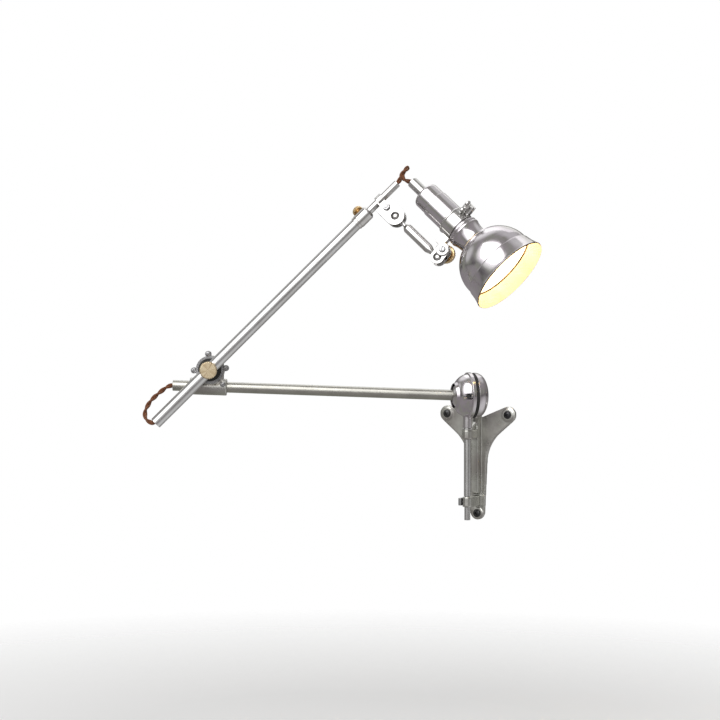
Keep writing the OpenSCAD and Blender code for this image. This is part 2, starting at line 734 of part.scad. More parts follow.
module centre_contact() color(brass) at_head() {
    post(6, contact_s - 0.5, contact_s + 0.5);
    post(3, contact_s, base_s[0]);
}

module terminal_screws() color(brass) at_head() for (s = [-1, 1])
    translate([0, s * 9, socket_s[0]]) rotate([180, 0, 0]) slotted_screw(3, 2, 1.5, 0);

// reflector holder below the band, with its beads and its waist
module shade_neck() color(metal) at_head() rotate_extrude() polygon([
    [cap_r, neck_s[0]], [21.6, neck_s[0]], [22.4, neck_s[0] + 1], [22.4, neck_s[0] + 3],
    [21.7, neck_s[0] + 4], [22.7, neck_s[0] + 5.4], [22.7, neck_s[0] + 7.4], [21.8, neck_s[0] + 8.8],
    [20.8, neck_s[0] + 13], [20.1, neck_s[0] + 19], [20.2, neck_s[0] + 24], [21.6, neck_s[1]],
    [20.3, neck_s[1]], [19, neck_s[0] + 24], [18.9, neck_s[0] + 19], [19.6, neck_s[0] + 13],
    [20.5, neck_s[0] + 8], [20.5, neck_s[0] + 1.2], [cap_r, neck_s[0] + 1.2]]);

// outside of the spun bowl, from its top ring to its rim
function bowl_outside() = concat(
    [[21.6, neck_s[1] - 1.6], [23.4, neck_s[1] - 1.2], [23.8, neck_s[1]], [23.2, neck_s[1] + 1.2],
     [26, neck_s[1] + 1.6], [29.5, neck_s[1] + 2.4], [30.4, neck_s[1] + 4]],
    [for (a = [40:8:88]) [51 * sin(a) - 0.2, crease_s - 4.5 - 47.5 * cos(a)]],
    [[50.8, crease_s - 1], [51.9, crease_s], [52.4, crease_s + 3], [53.4, crease_s + 9],
     [55, crease_s + 15], [rim_r - 0.8, head_len - 3], [rim_r, head_len - 1.6]]);

function bowl_inside() = concat(
    [[rim_r - 0.9, head_len]],
    [[rim_r - 1.9, head_len - 3], [55 - shade_t, crease_s + 15], [53.4 - shade_t, crease_s + 9],
     [52.4 - shade_t, crease_s + 3], [51.9 - shade_t, crease_s + 0.6], [50.8 - shade_t, crease_s - 0.6]],
    [for (a = [88:-8:40]) [51 * sin(a) - 0.2 - shade_t, crease_s - 4.5 - 47.5 * cos(a) + shade_t / 2]],
    [[29, neck_s[1] + 3.8], [21.6, neck_s[1] + 1.4]]);

module shade_bowl() color(metal) at_head() rotate_extrude($fn = 96)
    polygon(concat(bowl_outside(), bowl_inside()));

module bulb_base() color(brass) at_head() difference() {
    union() {
        post(12.9, base_s[0] + 3, base_s[1]);
        post(5, base_s[0], base_s[0] + 3);
    }
    post(12.2, base_s[0] + 4, base_s[1] + 1);
}

module bulb_glass() color([1, 1, 0.95]) at_head() rotate_extrude() polygon(concat(
    [[12.4, base_s[1]], [12.9, 106], [14, 112]],
    arc([0, bulb_s], bulb_r, -50, 90, 20),
    arc([0, bulb_s], bulb_r - glass_t, 90, -50, 20),
    [[14 - glass_t, 112.4], [12.9 - glass_t, 106], [12.4 - glass_t, base_s[1]]]));

bracket_casting();
upper_bush();
lug_set_screw();
pintle_tube();
front_shell();
rear_shell();
shell_gasket();
front_seat();
rear_seat();
shell_screws();
shoulder_ball();
lower_tube();
lower_tube_bush();
elbow_casting();
elbow_cover_ring();
elbow_cover_screws();
sleeve_screw();
elbow_cord();
friction_disc();
tube_saddle();
upper_tube();
upper_tube_bush();
pivot_bolt();
knob_washer();
elbow_knob();
coupling_sleeve();
coupling_thumbscrew();
extension_tube();
extension_bush();
tube_collar();
link_plate_front();
link_plate_back();
link_bolt();
link_nut();
head_cord();
link_rod();
upper_ball_stud();
lower_ball_stud();
clamp_band();
head_plate_front();
head_plate_back();
head_bolt();
head_disc();
thumb_nut();
wing_screw();
cord_inlet();
socket_cap();
socket_body();
screw_shell();
centre_contact();
terminal_screws();
shade_neck();
shade_bowl();
bulb_base();
bulb_glass();
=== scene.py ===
"""Looks of the swing arm wall sconce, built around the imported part.

Shapes are made in millimetres in the row frame, and piece() turns them into metres.
"""

import math

import bmesh
import bpy
from mathutils import Matrix, Vector


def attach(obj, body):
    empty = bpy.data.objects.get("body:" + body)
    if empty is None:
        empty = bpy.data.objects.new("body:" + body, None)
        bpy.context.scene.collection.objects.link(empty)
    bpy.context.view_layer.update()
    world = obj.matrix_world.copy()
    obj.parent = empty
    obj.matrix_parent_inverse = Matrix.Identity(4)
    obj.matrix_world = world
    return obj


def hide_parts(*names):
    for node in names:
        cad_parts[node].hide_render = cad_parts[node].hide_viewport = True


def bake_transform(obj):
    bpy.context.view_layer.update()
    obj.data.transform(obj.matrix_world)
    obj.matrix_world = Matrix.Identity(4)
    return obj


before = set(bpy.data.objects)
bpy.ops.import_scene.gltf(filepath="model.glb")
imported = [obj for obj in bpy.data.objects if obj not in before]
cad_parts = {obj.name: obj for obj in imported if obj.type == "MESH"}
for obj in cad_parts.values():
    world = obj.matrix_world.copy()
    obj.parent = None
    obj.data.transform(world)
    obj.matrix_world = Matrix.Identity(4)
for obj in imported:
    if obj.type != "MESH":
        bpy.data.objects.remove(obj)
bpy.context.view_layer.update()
MM = 0.001


# ---- frames of the part, in millimetres ----

def shift(x=0.0, y=0.0, z=0.0):
    return Matrix.Translation((x, y, z))


def turn(axis, degrees):
    return Matrix.Rotation(math.radians(degrees), 4, axis)


PINTLE_OUT, SHOULDER_Z, ARM_OFFSET = 34, 93.7, 24
SWING, SHELL_TURN, LOWER_TILT, UPPER_TILT, PLANE_LEAN = 30, 14, 2, 46.75, 21
ELBOW_REACH, ELBOW_RISE = 348, 23
HEAD_AT, INLET_AT = 369.5, 13.8
EAR_X, EAR_Z, FOOT_Z = 46, 67.5, 67.5

ROW = Matrix.Identity(4)
PINTLE = shift(0, -PINTLE_OUT, 0)
SHOULDER = shift(0, -PINTLE_OUT, SHOULDER_Z) @ turn("Z", SWING)
SHELL = SHOULDER @ turn("Z", SHELL_TURN) @ turn("Y", -90)
LOWER = SHOULDER @ turn("Y", LOWER_TILT)
ELBOW = LOWER @ shift(-ELBOW_REACH, 0, ELBOW_RISE)
UPPER = ELBOW @ shift(0, -ARM_OFFSET, 0) @ turn("Y", -UPPER_TILT)
HEAD_PLANE = UPPER @ turn("X", 180 - PLANE_LEAN)
HEAD = HEAD_PLANE @ shift(HEAD_AT, 0, INLET_AT)
ALONG_X, TO_FRONT, TO_BACK = turn("Y", 90), turn("X", 90), turn("X", -90)


# ---- mesh tools ----

OPEN_CORNER = math.radians(157)     # a corner wider than this stays as it is

def arc(cx, cy, radius, start, end, steps):
    """Points of an arc, with its angles in degrees."""
    angles = [math.radians(start + (end - start) * i / steps) for i in range(steps + 1)]
    return [(cx + radius * math.cos(a), cy + radius * math.sin(a)) for a in angles]


def rounded(points, radius, steps=3):
    """The closed outline with each clear corner turned into a small curve."""
    if radius <= 0:
        return [tuple(p) for p in points]
    out = []
    for i, point in enumerate(points):
        here = Vector(point)
        a, b = Vector(points[i - 1]) - here, Vector(points[(i + 1) % len(points)]) - here
        if min(here.x, a.length, b.length) < 1e-6 or a.angle(b) > OPEN_CORNER:
            out.append(tuple(here))
            continue
        reach = min(radius, 0.4 * a.length, 0.4 * b.length)
        p, q = here + a.normalized() * reach, here + b.normalized() * reach
        for k in range(steps + 1):
            t = k / steps
            out.append(tuple(p * (1 - t) ** 2 + here * 2 * t * (1 - t) + q * t * t))
    return out


def mesh_of(bm):
    bmesh.ops.remove_doubles(bm, verts=bm.verts, dist=1e-3)
    bmesh.ops.recalc_face_normals(bm, faces=bm.faces)
    mesh = bpy.data.meshes.new("work")
    bm.to_mesh(mesh)
    bm.free()
    return mesh


def spin(profile, at=ROW, corner=0.3, segments=72, teeth=0, tooth=0.0):
    """A closed outline of (radius, height) points turned about Z. Teeth flute its rim.
    The UV map holds millimetres along the outline and around it."""
    points = rounded(profile, corner)
    widest = max(r for r, z in points)
    fluted = 0.86 * widest
    run = [0.0]
    for (r0, z0), (r1, z1) in zip(points, points[1:] + points[:1]):
        run.append(run[-1] + math.hypot(r1 - r0, z1 - z0))
    bm = bmesh.new()
    uv = bm.loops.layers.uv.new("surface")
    rows = []
    for k in range(segments):
        a = math.tau * k / segments
        flute = tooth * max(0.0, math.cos(a * teeth)) if teeth else 0.0
        cross = [(r - (flute if r > fluted else 0), z) for r, z in points]
        rows.append([bm.verts.new(at @ Vector((r * math.cos(a), r * math.sin(a), z)))
                     for r, z in cross])
    step = math.tau * widest / segments
    for k, row in enumerate(rows):
        following = rows[(k + 1) % segments]
        for i in range(len(points)):
            j = (i + 1) % len(points)
            face = bm.faces.new((row[i], following[i], following[j], row[j]))
            corners = ((run[i], k), (run[i], k + 1), (run[i + 1], k + 1), (run[i + 1], k))
            for loop, (u, v) in zip(face.loops, corners):
                loop[uv].uv = (u, v * step)
    return mesh_of(bm)


def rod(radius, z0, z1, at=ROW, corner=0.3, segments=64):
    return spin([(0, z0), (radius, z0), (radius, z1), (0, z1)], at, corner, segments)


def pipe(outer, inner, z0, z1, at=ROW, corner=0.3, segments=72):
    return spin([(inner, z0), (outer, z0), (outer, z1), (inner, z1)], at, corner, segments)


def slab(outline, z0, z1, at=ROW):
    """An outline of (x, y) points given thickness along Z."""
    bm = bmesh.new()
    low = [bm.verts.new(at @ Vector((x, y, z0))) for x, y in outline]
    high = [bm.verts.new(at @ Vector((x, y, z1))) for x, y in outline]
    bm.faces.new(low)
    bm.faces.new(high)
    for i in range(len(outline)):
        j = (i + 1) % len(outline)
        bm.faces.new((low[i], low[j], high[j], high[i]))
    bm.loops.layers.uv.new("surface")
    return mesh_of(bm)


def brick(x, y, z, at=ROW):
    """A box from three (lowest, highest) pairs."""
    return slab([(x[0], y[0]), (x[1], y[0]), (x[1], y[1]), (x[0], y[1])], z[0], z[1], at)


def hexagon(across, z0, z1, at=ROW):
    corner = across / 2 / math.cos(math.radians(30))
    return slab(arc(0, 0, corner, 0, 300, 5), z0, z1, at)


def joined(meshes):
    bm = bmesh.new()
    for mesh in meshes:
        bm.from_mesh(mesh)
    out = bpy.data.meshes.new("work")
    bm.to_mesh(out)
    bm.free()
    return out


def scene_object(name, data):
    obj = bpy.data.objects.new(name, data)
    bpy.context.collection.objects.link(obj)
    return obj


def modified(mesh, *steps):
    """The mesh after a stack of modifiers, each given as (type, settings)."""
    work = scene_object("work", mesh)
    for kind, settings in steps:
        modifier = work.modifiers.new(kind, kind)
        for key, value in settings.items():
            setattr(modifier, key, value)
    graph = bpy.context.evaluated_depsgraph_get()
    out = bpy.data.meshes.new_from_object(work.evaluated_get(graph))
    bpy.data.objects.remove(work)
    return out


def boolean(mesh, other, operation):
    tool = scene_object("tool", other)
    out = modified(mesh, ("BOOLEAN", dict(operation=operation, solver="EXACT", object=tool)))
    bpy.data.objects.remove(tool)
    return out


def united(first, *others):
    for other in others:
        first = boolean(first, other, "UNION")
    return first


def cut(mesh, *tools):
    """The mesh less the tools, which don't overlap each other."""
    return boolean(mesh, joined(tools), "DIFFERENCE")


def softened(mesh, width=0.4, segments=2, angle=38):
    return modified(mesh, ("BEVEL", dict(
        width=width, segments=segments, limit_method="ANGLE", angle_limit=math.radians(angle),
        use_clamp_overlap=True, miter_outer="MITER_ARC")))


def cast(solids, voxel, passes):
    """Overlapping solids melted into one skin with soft inner and outer corners."""
    return modified(
        joined(solids),
        ("REMESH", dict(mode="VOXEL", voxel_size=voxel, adaptivity=0.0, use_smooth_shade=True)),
        ("SMOOTH", dict(factor=0.5, iterations=passes)))


def slotted_screw(head_r, head_h, shank_r, shank_l, at, lean=40):
    body = spin([(0, -shank_l), (shank_r, -shank_l), (shank_r, 0), (head_r, 0),
                 (head_r, head_h * 0.55), (head_r * 0.86, head_h * 0.85), (head_r * 0.5, head_h),
                 (0, head_h)], at, 0.25, 40)
    slot_half = 0.45
    return cut(body, brick((-head_r - 1, head_r + 1), (-slot_half, slot_half),
                           (head_h * 0.45, head_h + 1), at @ turn("Z", lean)))


# ---- materials ----

def feed(tree, made, inputs):
    """Gives a node's inputs, by name or number, a value or a link from a socket each."""
    for key, value in inputs.items():
        if isinstance(value, bpy.types.NodeSocket):
            tree.links.new(made.inputs[key], value)
        else:
            made.inputs[key].default_value = value


def node(tree, kind, inputs=None, **properties):
    made = tree.nodes.new(kind)
    for key, value in properties.items():
        setattr(made, key, value)
    feed(tree, made, inputs or {})
    return made


def material(name):
    """A material, its tree and shader, and the sockets of its places and of its UV map."""
    mat = bpy.data.materials.new(name)
    mat.use_nodes = True
    tree = mat.node_tree
    places = node(tree, "ShaderNodeTexCoord").outputs
    return mat, tree, tree.nodes["Principled BSDF"], places["Object"], places["UV"]


def noise(tree, vector, scale, detail=3.0, rough=0.55):
    return node(tree, "ShaderNodeTexNoise", {
        "Vector": vector, "Scale": scale, "Detail": detail, "Roughness": rough}).outputs["Fac"]


def spread(tree, value, low, high, start=0.3, end=0.7):
    """A socket's range from start to end, stretched to run from low to high."""
    return node(tree, "ShaderNodeMapRange", {
        "Value": value, "From Min": start, "From Max": end,
        "To Min": low, "To Max": high}).outputs["Result"]


def blended(tree, factor, a, b):
    """Colours a and b, each a colour or a socket, mixed by a socket."""
    a, b = ((*side, 1) if isinstance(side, tuple) else side for side in (a, b))
    # a colour mix takes its colours at inputs 6 and 7, and gives the result at output 2
    return node(tree, "ShaderNodeMix", {"Factor": factor, 6: a, 7: b}, data_type="RGBA").outputs[2]


def clouds(tree, place, scale, detail, a, b):
    return blended(tree, spread(tree, noise(tree, place, scale, detail), 0, 1), a, b)


def scaled(tree, uv, along, around):
    return node(tree, "ShaderNodeMapping", {
        "Vector": uv, "Scale": (along, around, 0)}).outputs["Vector"]


def scaled_colour(colour, amount):
    return tuple(amount * part for part in colour)


def bumps(tree, bsdf, *heights):
    """Heights are (socket, strength, distance in metres)."""
    below = {}
    for height, strength, distance in heights:
        made = node(tree, "ShaderNodeBump", {
            "Height": height, "Strength": strength, "Distance": distance, **below})
        below = {"Normal": made.outputs["Normal"]}
    feed(tree, bsdf, below)


LINE_DEPTH = 0.00006


def metal(name, colour, stain_and_sheen, rough, lines, grain, crevice_shade=0.6, reach=0.004, sheen_fans=0.0):
    """Metal with tool lines along its UV map, a grained skin and painted shade in its crevices. rough
    is (lowest, highest), lines (along, around, strength) and grain (scale, strength, metres).
    crevice_shade is how dark the painted shade in crevices is, and reach how wide, in metres.
    sheen_fans is how many fans of painted sheen there are in each mm round a turned face, or 0 for
    cloudy stains."""
    mat, tree, bsdf, place, uv = material(name)
    # sheen_fans paints a turned face's radial sheen as fans of lighter and darker colour; without it
    # the noise gives cloudy stains
    if sheen_fans:
        stains_and_sheen = noise(tree, scaled(tree, uv, 0, sheen_fans), 1.0, 2)
    else:
        stains_and_sheen = noise(tree, place, 23, 5, 0.6)
    strokes = noise(tree, scaled(tree, uv, lines[0], lines[1]), 1.0, 4, 0.7)
    # ambient occlusion paints shade into crevices, corners and recesses
    corners = node(tree, "ShaderNodeAmbientOcclusion", {"Distance": reach}, only_local=False, samples=6)
    unshaded = blended(tree, spread(tree, stains_and_sheen, 0, 1, 0.42, 0.68), colour, stain_and_sheen)
    shade_colour = tuple(part * (1 - crevice_shade) * 0.5 for part in colour)
    roughness = node(tree, "ShaderNodeMath", {
        0: spread(tree, noise(tree, place, 55, 4), *rough), 1: spread(tree, strokes, 0.85, 1.2)},
        operation="MULTIPLY")
    feed(tree, bsdf, {
        "Base Color": blended(
            tree, spread(tree, corners.outputs["AO"], 1 - crevice_shade, 1.0, 0.25, 0.85), shade_colour, unshaded),
        "Roughness": roughness.outputs[0], "Metallic": 1.0})
    bumps(tree, bsdf, (strokes, lines[2], LINE_DEPTH), (noise(tree, place, grain[0]), *grain[1:]))
    return mat


def black_fibre():
    mat, tree, bsdf, place, _ = material("black_fibre")
    fibres = noise(tree, place, 1400, 5, 0.7)
    feed(tree, bsdf, {
        "Base Color": clouds(tree, place, 90, 3, (0.012, 0.012, 0.013), (0.04, 0.038, 0.036)),
        "Roughness": spread(tree, fibres, 0.45, 0.75)})
    bumps(tree, bsdf, (fibres, 0.4, 0.0002))
    return mat


def porcelain():
    mat, tree, bsdf, place, _ = material("porcelain")
    feed(tree, bsdf, {
        "Base Color": clouds(tree, place, 120, 5, (0.86, 0.84, 0.78), (0.80, 0.77, 0.70)),
        "Roughness": spread(tree, noise(tree, place, 300), 0.15, 0.3),
        "Coat Weight": 0.6, "Coat Roughness": 0.08})
    return mat


def bulb_glass():
    """Frosted glass, lit from inside."""
    mat, tree, bsdf, place, _ = material("bulb_glass")
    frost = noise(tree, place, 900, 4)
    glow = spread(tree, noise(tree, place, 30), 0, 1)
    feed(tree, bsdf, {
        "Base Color": blended(tree, glow, (1.0, 0.93, 0.80), (0.98, 0.88, 0.72)),
        "Roughness": spread(tree, frost, 0.3, 0.5),
        "Emission Color": blended(tree, glow, (1.0, 0.83, 0.56), (1.0, 0.78, 0.48)),
        "Emission Strength": 7.0})
    bumps(tree, bsdf, (frost, 0.2, 0.0002))
    return mat


def lit_lining(name, near, far, glow):
    """The inside of the bowl: satin aluminium with spinning rings, and a painted warm glow standing in
    for the lamp's light on it.
    """
    mat, tree, bsdf, place, uv = material(name)
    rings = noise(tree, scaled(tree, uv, 1.6, 0.02), 1.0, 4, 0.6)
    haze = spread(tree, noise(tree, place, 40, 4), 0, 1)
    feed(tree, bsdf, {
        "Base Color": blended(tree, haze, scaled_colour(near, 0.9), scaled_colour(far, 0.85)),
        "Roughness": spread(tree, rings, 0.42, 0.6), "Metallic": 0.3,
        # the emission is painted light from the bulb, not a lamp of its own
        "Emission Color": blended(tree, haze, near, far), "Emission Strength": glow})
    bumps(tree, bsdf, (rings, 0.3, 0.0001))
    return mat


def lining_ring():
    """The step inside the bowl and its rim, painted as copper lines: painted light and shade where the
    lamp's light catches the crease and rim.
    """
    mat, tree, bsdf, place, _ = material("lining_ring")
    feed(tree, bsdf, {
        "Base Color": clouds(tree, place, 60, 3, (0.12, 0.042, 0.012), (0.17, 0.065, 0.02)),
        "Roughness": spread(tree, noise(tree, place, 300), 0.3, 0.5), "Metallic": 0.1})
    return mat


def brown_cord():
    """Braided cotton: two sets of diagonal yarns over each core."""
    mat, tree, bsdf, place, uv = material("brown_cord")
    yarns = {}
    for i, lean in enumerate((-45, 45)):
        lie = node(tree, "ShaderNodeMapping", {"Vector": uv, "Rotation": (0, 0, math.radians(lean))})
        yarns[i] = node(tree, "ShaderNodeTexWave", {
            "Vector": lie.outputs["Vector"], "Scale": 0.55, "Distortion": 0.6,
            "Detail": 2.0}).outputs["Fac"]
    weave = node(tree, "ShaderNodeMath", yarns, operation="MAXIMUM").outputs[0]
    fuzz = noise(tree, place, 2600, 4, 0.7)
    tone = clouds(tree, place, 160, 3, (0.19, 0.060, 0.022), (0.31, 0.105, 0.038))
    feed(tree, bsdf, {
        # the dark colour in the gaps between the yarns is painted shade
        "Base Color": blended(tree, spread(tree, weave, 0, 1, 0.2, 0.8), (0.05, 0.017, 0.008), tone),
        "Roughness": spread(tree, fuzz, 0.65, 0.9), "Sheen Weight": 0.5, "Sheen Roughness": 0.4,
        "Sheen Tint": (1.0, 0.72, 0.5, 1)})
    bumps(tree, bsdf, (fuzz, 0.3, 0.0001), (weave, 0.8, 0.0003))
    return mat


NO_LINES = (0.0, 0.0, 0.0)
# each metal's slot, then what metal() takes after the name
METALS = {
    "cast_aluminium": ("cast_aluminium", (0.68, 0.68, 0.64), (0.44, 0.41, 0.39), (0.22, 0.38),
                       NO_LINES, (330, 0.14, 0.0004), 0.5, 0.006),
    "polished_aluminium": ("polished_aluminium", (0.78, 0.75, 0.77), (0.66, 0.61, 0.65), (0.10, 0.20),
                           (3.0, 0.02, 0.15), (200, 0.04, 0.0003)),
    "steel_tube": ("steel_tube", (0.76, 0.76, 0.76), (0.64, 0.63, 0.62), (0.16, 0.27),
                   (0.03, 2.2, 0.10), (150, 0.02, 0.0003)),
    "satin_tube": ("steel_tube", (0.60, 0.59, 0.54), (0.50, 0.49, 0.45), (0.24, 0.36),
                   (0.03, 2.6, 0.14), (150, 0.02, 0.0003)),
    "bright_nickel": ("bright_nickel", (0.78, 0.77, 0.76), (0.66, 0.64, 0.62), (0.10, 0.24),
                      (2.0, 0.05, 0.2), (500, 0.05, 0.0002)),
    # plate edges: a sheared metal edge, made darker still as painted shade to outline the plates
    "sheared_and_shaded_edge": ("bright_nickel", (0.26, 0.26, 0.27), (0.18, 0.18, 0.18), (0.3, 0.45),
                     (0.4, 2.0, 0.4), (600, 0.1, 0.0002), 0.6, 0.003),
    "dark_cover": ("bright_nickel", (0.42, 0.42, 0.43), (0.20, 0.20, 0.21), (0.22, 0.42),
                   (1.5, 0.1, 0.2), (650, 0.5, 0.0005), 0.6, 0.003),
    "brass": ("brass", (0.90, 0.69, 0.40), (0.74, 0.50, 0.24), (0.16, 0.30),
              (4.0, 0.03, 0.3), (500, 0.04, 0.0002), 0.5, 0.003),
    # the knob's stain_and_sheen colour and its last number, sheen_fans, paint a radial sheen round its
    # turned face
    "turned_brass": ("brass", (0.95, 0.80, 0.55), (0.66, 0.49, 0.30), (0.20, 0.32),
                     (5.0, 0.02, 0.35), (500, 0.04, 0.0002), 0.6, 0.003, 0.11),
    "screw_steel": ("screw_steel", (0.48, 0.48, 0.49), (0.34, 0.33, 0.32), (0.22, 0.4),
                    (3.0, 0.05, 0.3), (700, 0.1, 0.0002), 0.6, 0.003),
    "black_steel": ("screw_steel", (0.06, 0.06, 0.065), (0.12, 0.12, 0.12), (0.3, 0.45),
                    NO_LINES, (900, 0.2, 0.0002), 0.5, 0.003),
}
# painted glow of the lamp's light inside the bowl and at the neck seam: (near colour, far colour, glow
# strength)
LININGS = {
    "shade_lining": ((1.0, 0.95, 0.80), (1.0, 0.92, 0.70), 0.55),
    "shade_flare": ((1.0, 0.88, 0.55), (1.0, 0.83, 0.44), 0.42),
    "lit_seam": ((1.0, 0.70, 0.26), (1.0, 0.78, 0.38), 0.5),
}
# each finish's material and the slot it stands in
FINISHES = {name: (metal(name, *looks), slot) for name, (slot, *looks) in METALS.items()}
for lining, looks in LININGS.items():
    FINISHES[lining] = (lit_lining(lining, *looks), "polished_aluminium")
FINISHES["lining_ring"] = (lining_ring(), "polished_aluminium")
for make in (black_fibre, porcelain, bulb_glass, brown_cord):
    FINISHES[make.__name__] = (make(), make.__name__)


def dressed(name, mesh, finishes):
    """An object of a shape in mm, in metres, smooth and with its finishes."""
    mesh.transform(Matrix.Scale(MM, 4))
    mesh.polygons.foreach_set("use_smooth", [True] * len(mesh.polygons))
    if mesh.materials:
        mesh.materials.clear()
    for finish in finishes:
        mesh.materials.append(FINISHES[finish][0])
    mesh.name = name
    return scene_object(name, mesh)


def piece(name, body, finish, mesh, *nodes, sharp=40, others=()):
    """Puts a shape in the scene on its body. It stands for the named CAD nodes."""
    obj = dressed(name, mesh, (finish, *others))
    mesh.set_sharp_from_angle(angle=math.radians(sharp))
    obj.modifiers.new("even_shading", "WEIGHTED_NORMAL").keep_sharp = True
    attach(obj, body)
    if nodes:
        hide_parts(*nodes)


def carry(name, finish):
    """A CAD node whose shape stays gets its finish."""
    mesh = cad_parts[name].data
    mesh.materials.clear()
    mesh.materials.append(FINISHES[finish][0])


# ---- wall bracket ----

PLATE_T = 4.5
RIB_W, RIB_OUT, GUSSET_W = 11, 9, 5
PAD_Y, PAD_R, SCREW_HOLE_R = -PLATE_T - 1, 8.2, 2.6
UPPER_LUG, LOWER_LUG = (35, 47.5), (-56.7, -43)
UPPER_LUG_R, LOWER_LUG_R = 7.3, 6.6
LUG_HALF, BUSH_R = 5, 6
TAIL_R, PINTLE_R = 4.0, 4.7
CORD_HOLE_R = 3.1
FIT = 0.05


def wood_screw(at):
    """Black screw with a domed head and a cross recess. It stops at the wall."""
    shank = -PAD_Y - 0.2
    body = spin([(0, -shank), (2.2, -shank), (2.2, 0), (5.3, 0), (5.5, 0.5), (4.9, 1.6),
                 (3.4, 2.5), (1.5, 2.9), (0, 2.95)], at, 0.2, 48)
    for lean in (25, 115):
        body = cut(body, brick((-2.7, 2.7), (-0.55, 0.55), (1.1, 4), at @ turn("Z", lean)))
    return body


def bracket_outline():
    """Front view of the plate: a foot, two ears on sloping wings, and a low peak between them."""
    foot_r, ear_r, post_r, blend = 10.8, 11.2, 14, 25
    lower, upper = math.radians(40), math.radians(22)
    low = (EAR_X + ear_r * math.sin(lower), EAR_Z - ear_r * math.cos(lower))
    corner = (post_r, low[1] - (low[0] - post_r) * math.tan(lower))
    blend_r = blend / math.tan((math.pi / 2 - lower) / 2)
    top = (EAR_X - ear_r * math.sin(upper), EAR_Z + ear_r * math.cos(upper))
    half = (arc(0, 2 - FOOT_Z, foot_r, -90, 0, 12)
            + arc(corner[0] + blend_r, corner[1] - blend, blend_r, 180, 130, 16)
            + arc(EAR_X, EAR_Z, ear_r, -50, 112, 24)
            + [(0, top[1] - top[0] * math.tan(upper))])
    return half + [(-x, y) for x, y in reversed(half[1:-1])]


def build_bracket():
    upright = turn("Z", 90) @ turn("X", 90)
    rib_front = -PLATE_T - RIB_OUT
    rib = slab([(0, -42), (rib_front, -39), (rib_front, 52), (-PLATE_T - 2, 68), (0, 68)],
               -RIB_W / 2, RIB_W / 2, upright)
    gusset = slab([(8 - PINTLE_OUT, UPPER_LUG[1]), (-PLATE_T, UPPER_LUG[1]), (-PLATE_T, 62)],
                  -GUSSET_W / 2, GUSSET_W / 2, upright)
    solids = [slab(bracket_outline(), 0, PLATE_T, TO_FRONT), rib, gusset]
    for (z0, z1), radius in ((UPPER_LUG, UPPER_LUG_R), (LOWER_LUG, LOWER_LUG_R)):
        solids.append(rod(radius, z0, z1, PINTLE, 0.8))
        solids.append(brick((-LUG_HALF, LUG_HALF), (-PINTLE_OUT, -1), (z0, z1)))
    holes = [(-EAR_X, EAR_Z), (EAR_X, EAR_Z), (0, -FOOT_Z)]
    solids += [rod(PAD_R, 0, -PAD_Y, shift(x, 0, z) @ TO_FRONT, 0.4) for x, z in holes]
    tools = [rod(SCREW_HOLE_R, -1, 12, shift(x, 0, z) @ TO_FRONT, 0) for x, z in holes]
    tools += [rod(BUSH_R, UPPER_LUG[0] - 1, UPPER_LUG[1] + 1, PINTLE, 0),
              rod(TAIL_R + FIT, LOWER_LUG[0] - 1, LOWER_LUG[1] + 1, PINTLE, 0)]
    body = cast(solids, 0.7, 7)
    for vertex in body.vertices:
        vertex.co.y = min(vertex.co.y, 0)
    for tool in tools:
        body = cut(body, tool)
    piece("bracket", "wall_bracket", "cast_aluminium", body, "bracket_casting", sharp=50)
    for i, (x, z) in enumerate(holes):
        piece(f"wood_screw_{i + 1}", "wall_bracket", "black_steel",
              wood_screw(shift(x, PAD_Y, z) @ TO_FRONT))

    piece("pintle_bush", "wall_bracket", "bright_nickel", spin(
        [(PINTLE_R + FIT, UPPER_LUG[0]), (BUSH_R, UPPER_LUG[0]), (BUSH_R, UPPER_LUG[1]),
         (UPPER_LUG_R, UPPER_LUG[1]), (UPPER_LUG_R, UPPER_LUG[1] + 1.8),
         (PINTLE_R + FIT, UPPER_LUG[1] + 1.8)], PINTLE), "upper_bush")

    middle = shift(0, 0, sum(LOWER_LUG) / 2)
    across = PINTLE @ middle @ ALONG_X
    head_low, half, thick, shank_r = -LOWER_LUG_R - 4.8, 5, 4.5, 2
    square = brick((-half, half), (-half, half), (head_low, head_low + thick), across)
    piece("lug_screw", "wall_bracket", "screw_steel", joined(
        [softened(square, 0.7, 3), rod(shank_r, head_low + thick - 0.5, -TAIL_R - 0.3, across)]),
        "lug_set_screw")


# ---- pintle and shoulder ----

SHELL_R, BALL_R, MOUTH_R, MOUTH_Z = 31.5, 22.5, 16.5, 19.8
FRONT_FACE, REAR_FACE = -3.8, -8.2
DOME_DEPTH, SHELL_T = 18, 2.6
SHELL_BORE_R, GASKET_BORE_R = 26.5, 24
SCREW_RING_R, SEAT_R = 27.5, 4.2
SHELL_SCREW_ANGLES = (-90, 30, 150)
NECK_R, NECK_Z = 6.2, 50.2
PINTLE_FOOT, PINTLE_STEP, PINTLE_TOP = -74.5, LOWER_LUG[1] + 0.9, SHOULDER_Z - SHELL_R + 1
SHELL_SIDES = 112


def dome(radius, depth, steps=22):
    """Half of a dome's outline, squarer than an ellipse by its power."""
    power = 0.8
    angles = [math.pi / 2 * i / steps for i in range(steps + 1)]
    return [(radius * max(math.cos(a), 0) ** power, REAR_FACE - depth * math.sin(a) ** power)
            for a in angles]


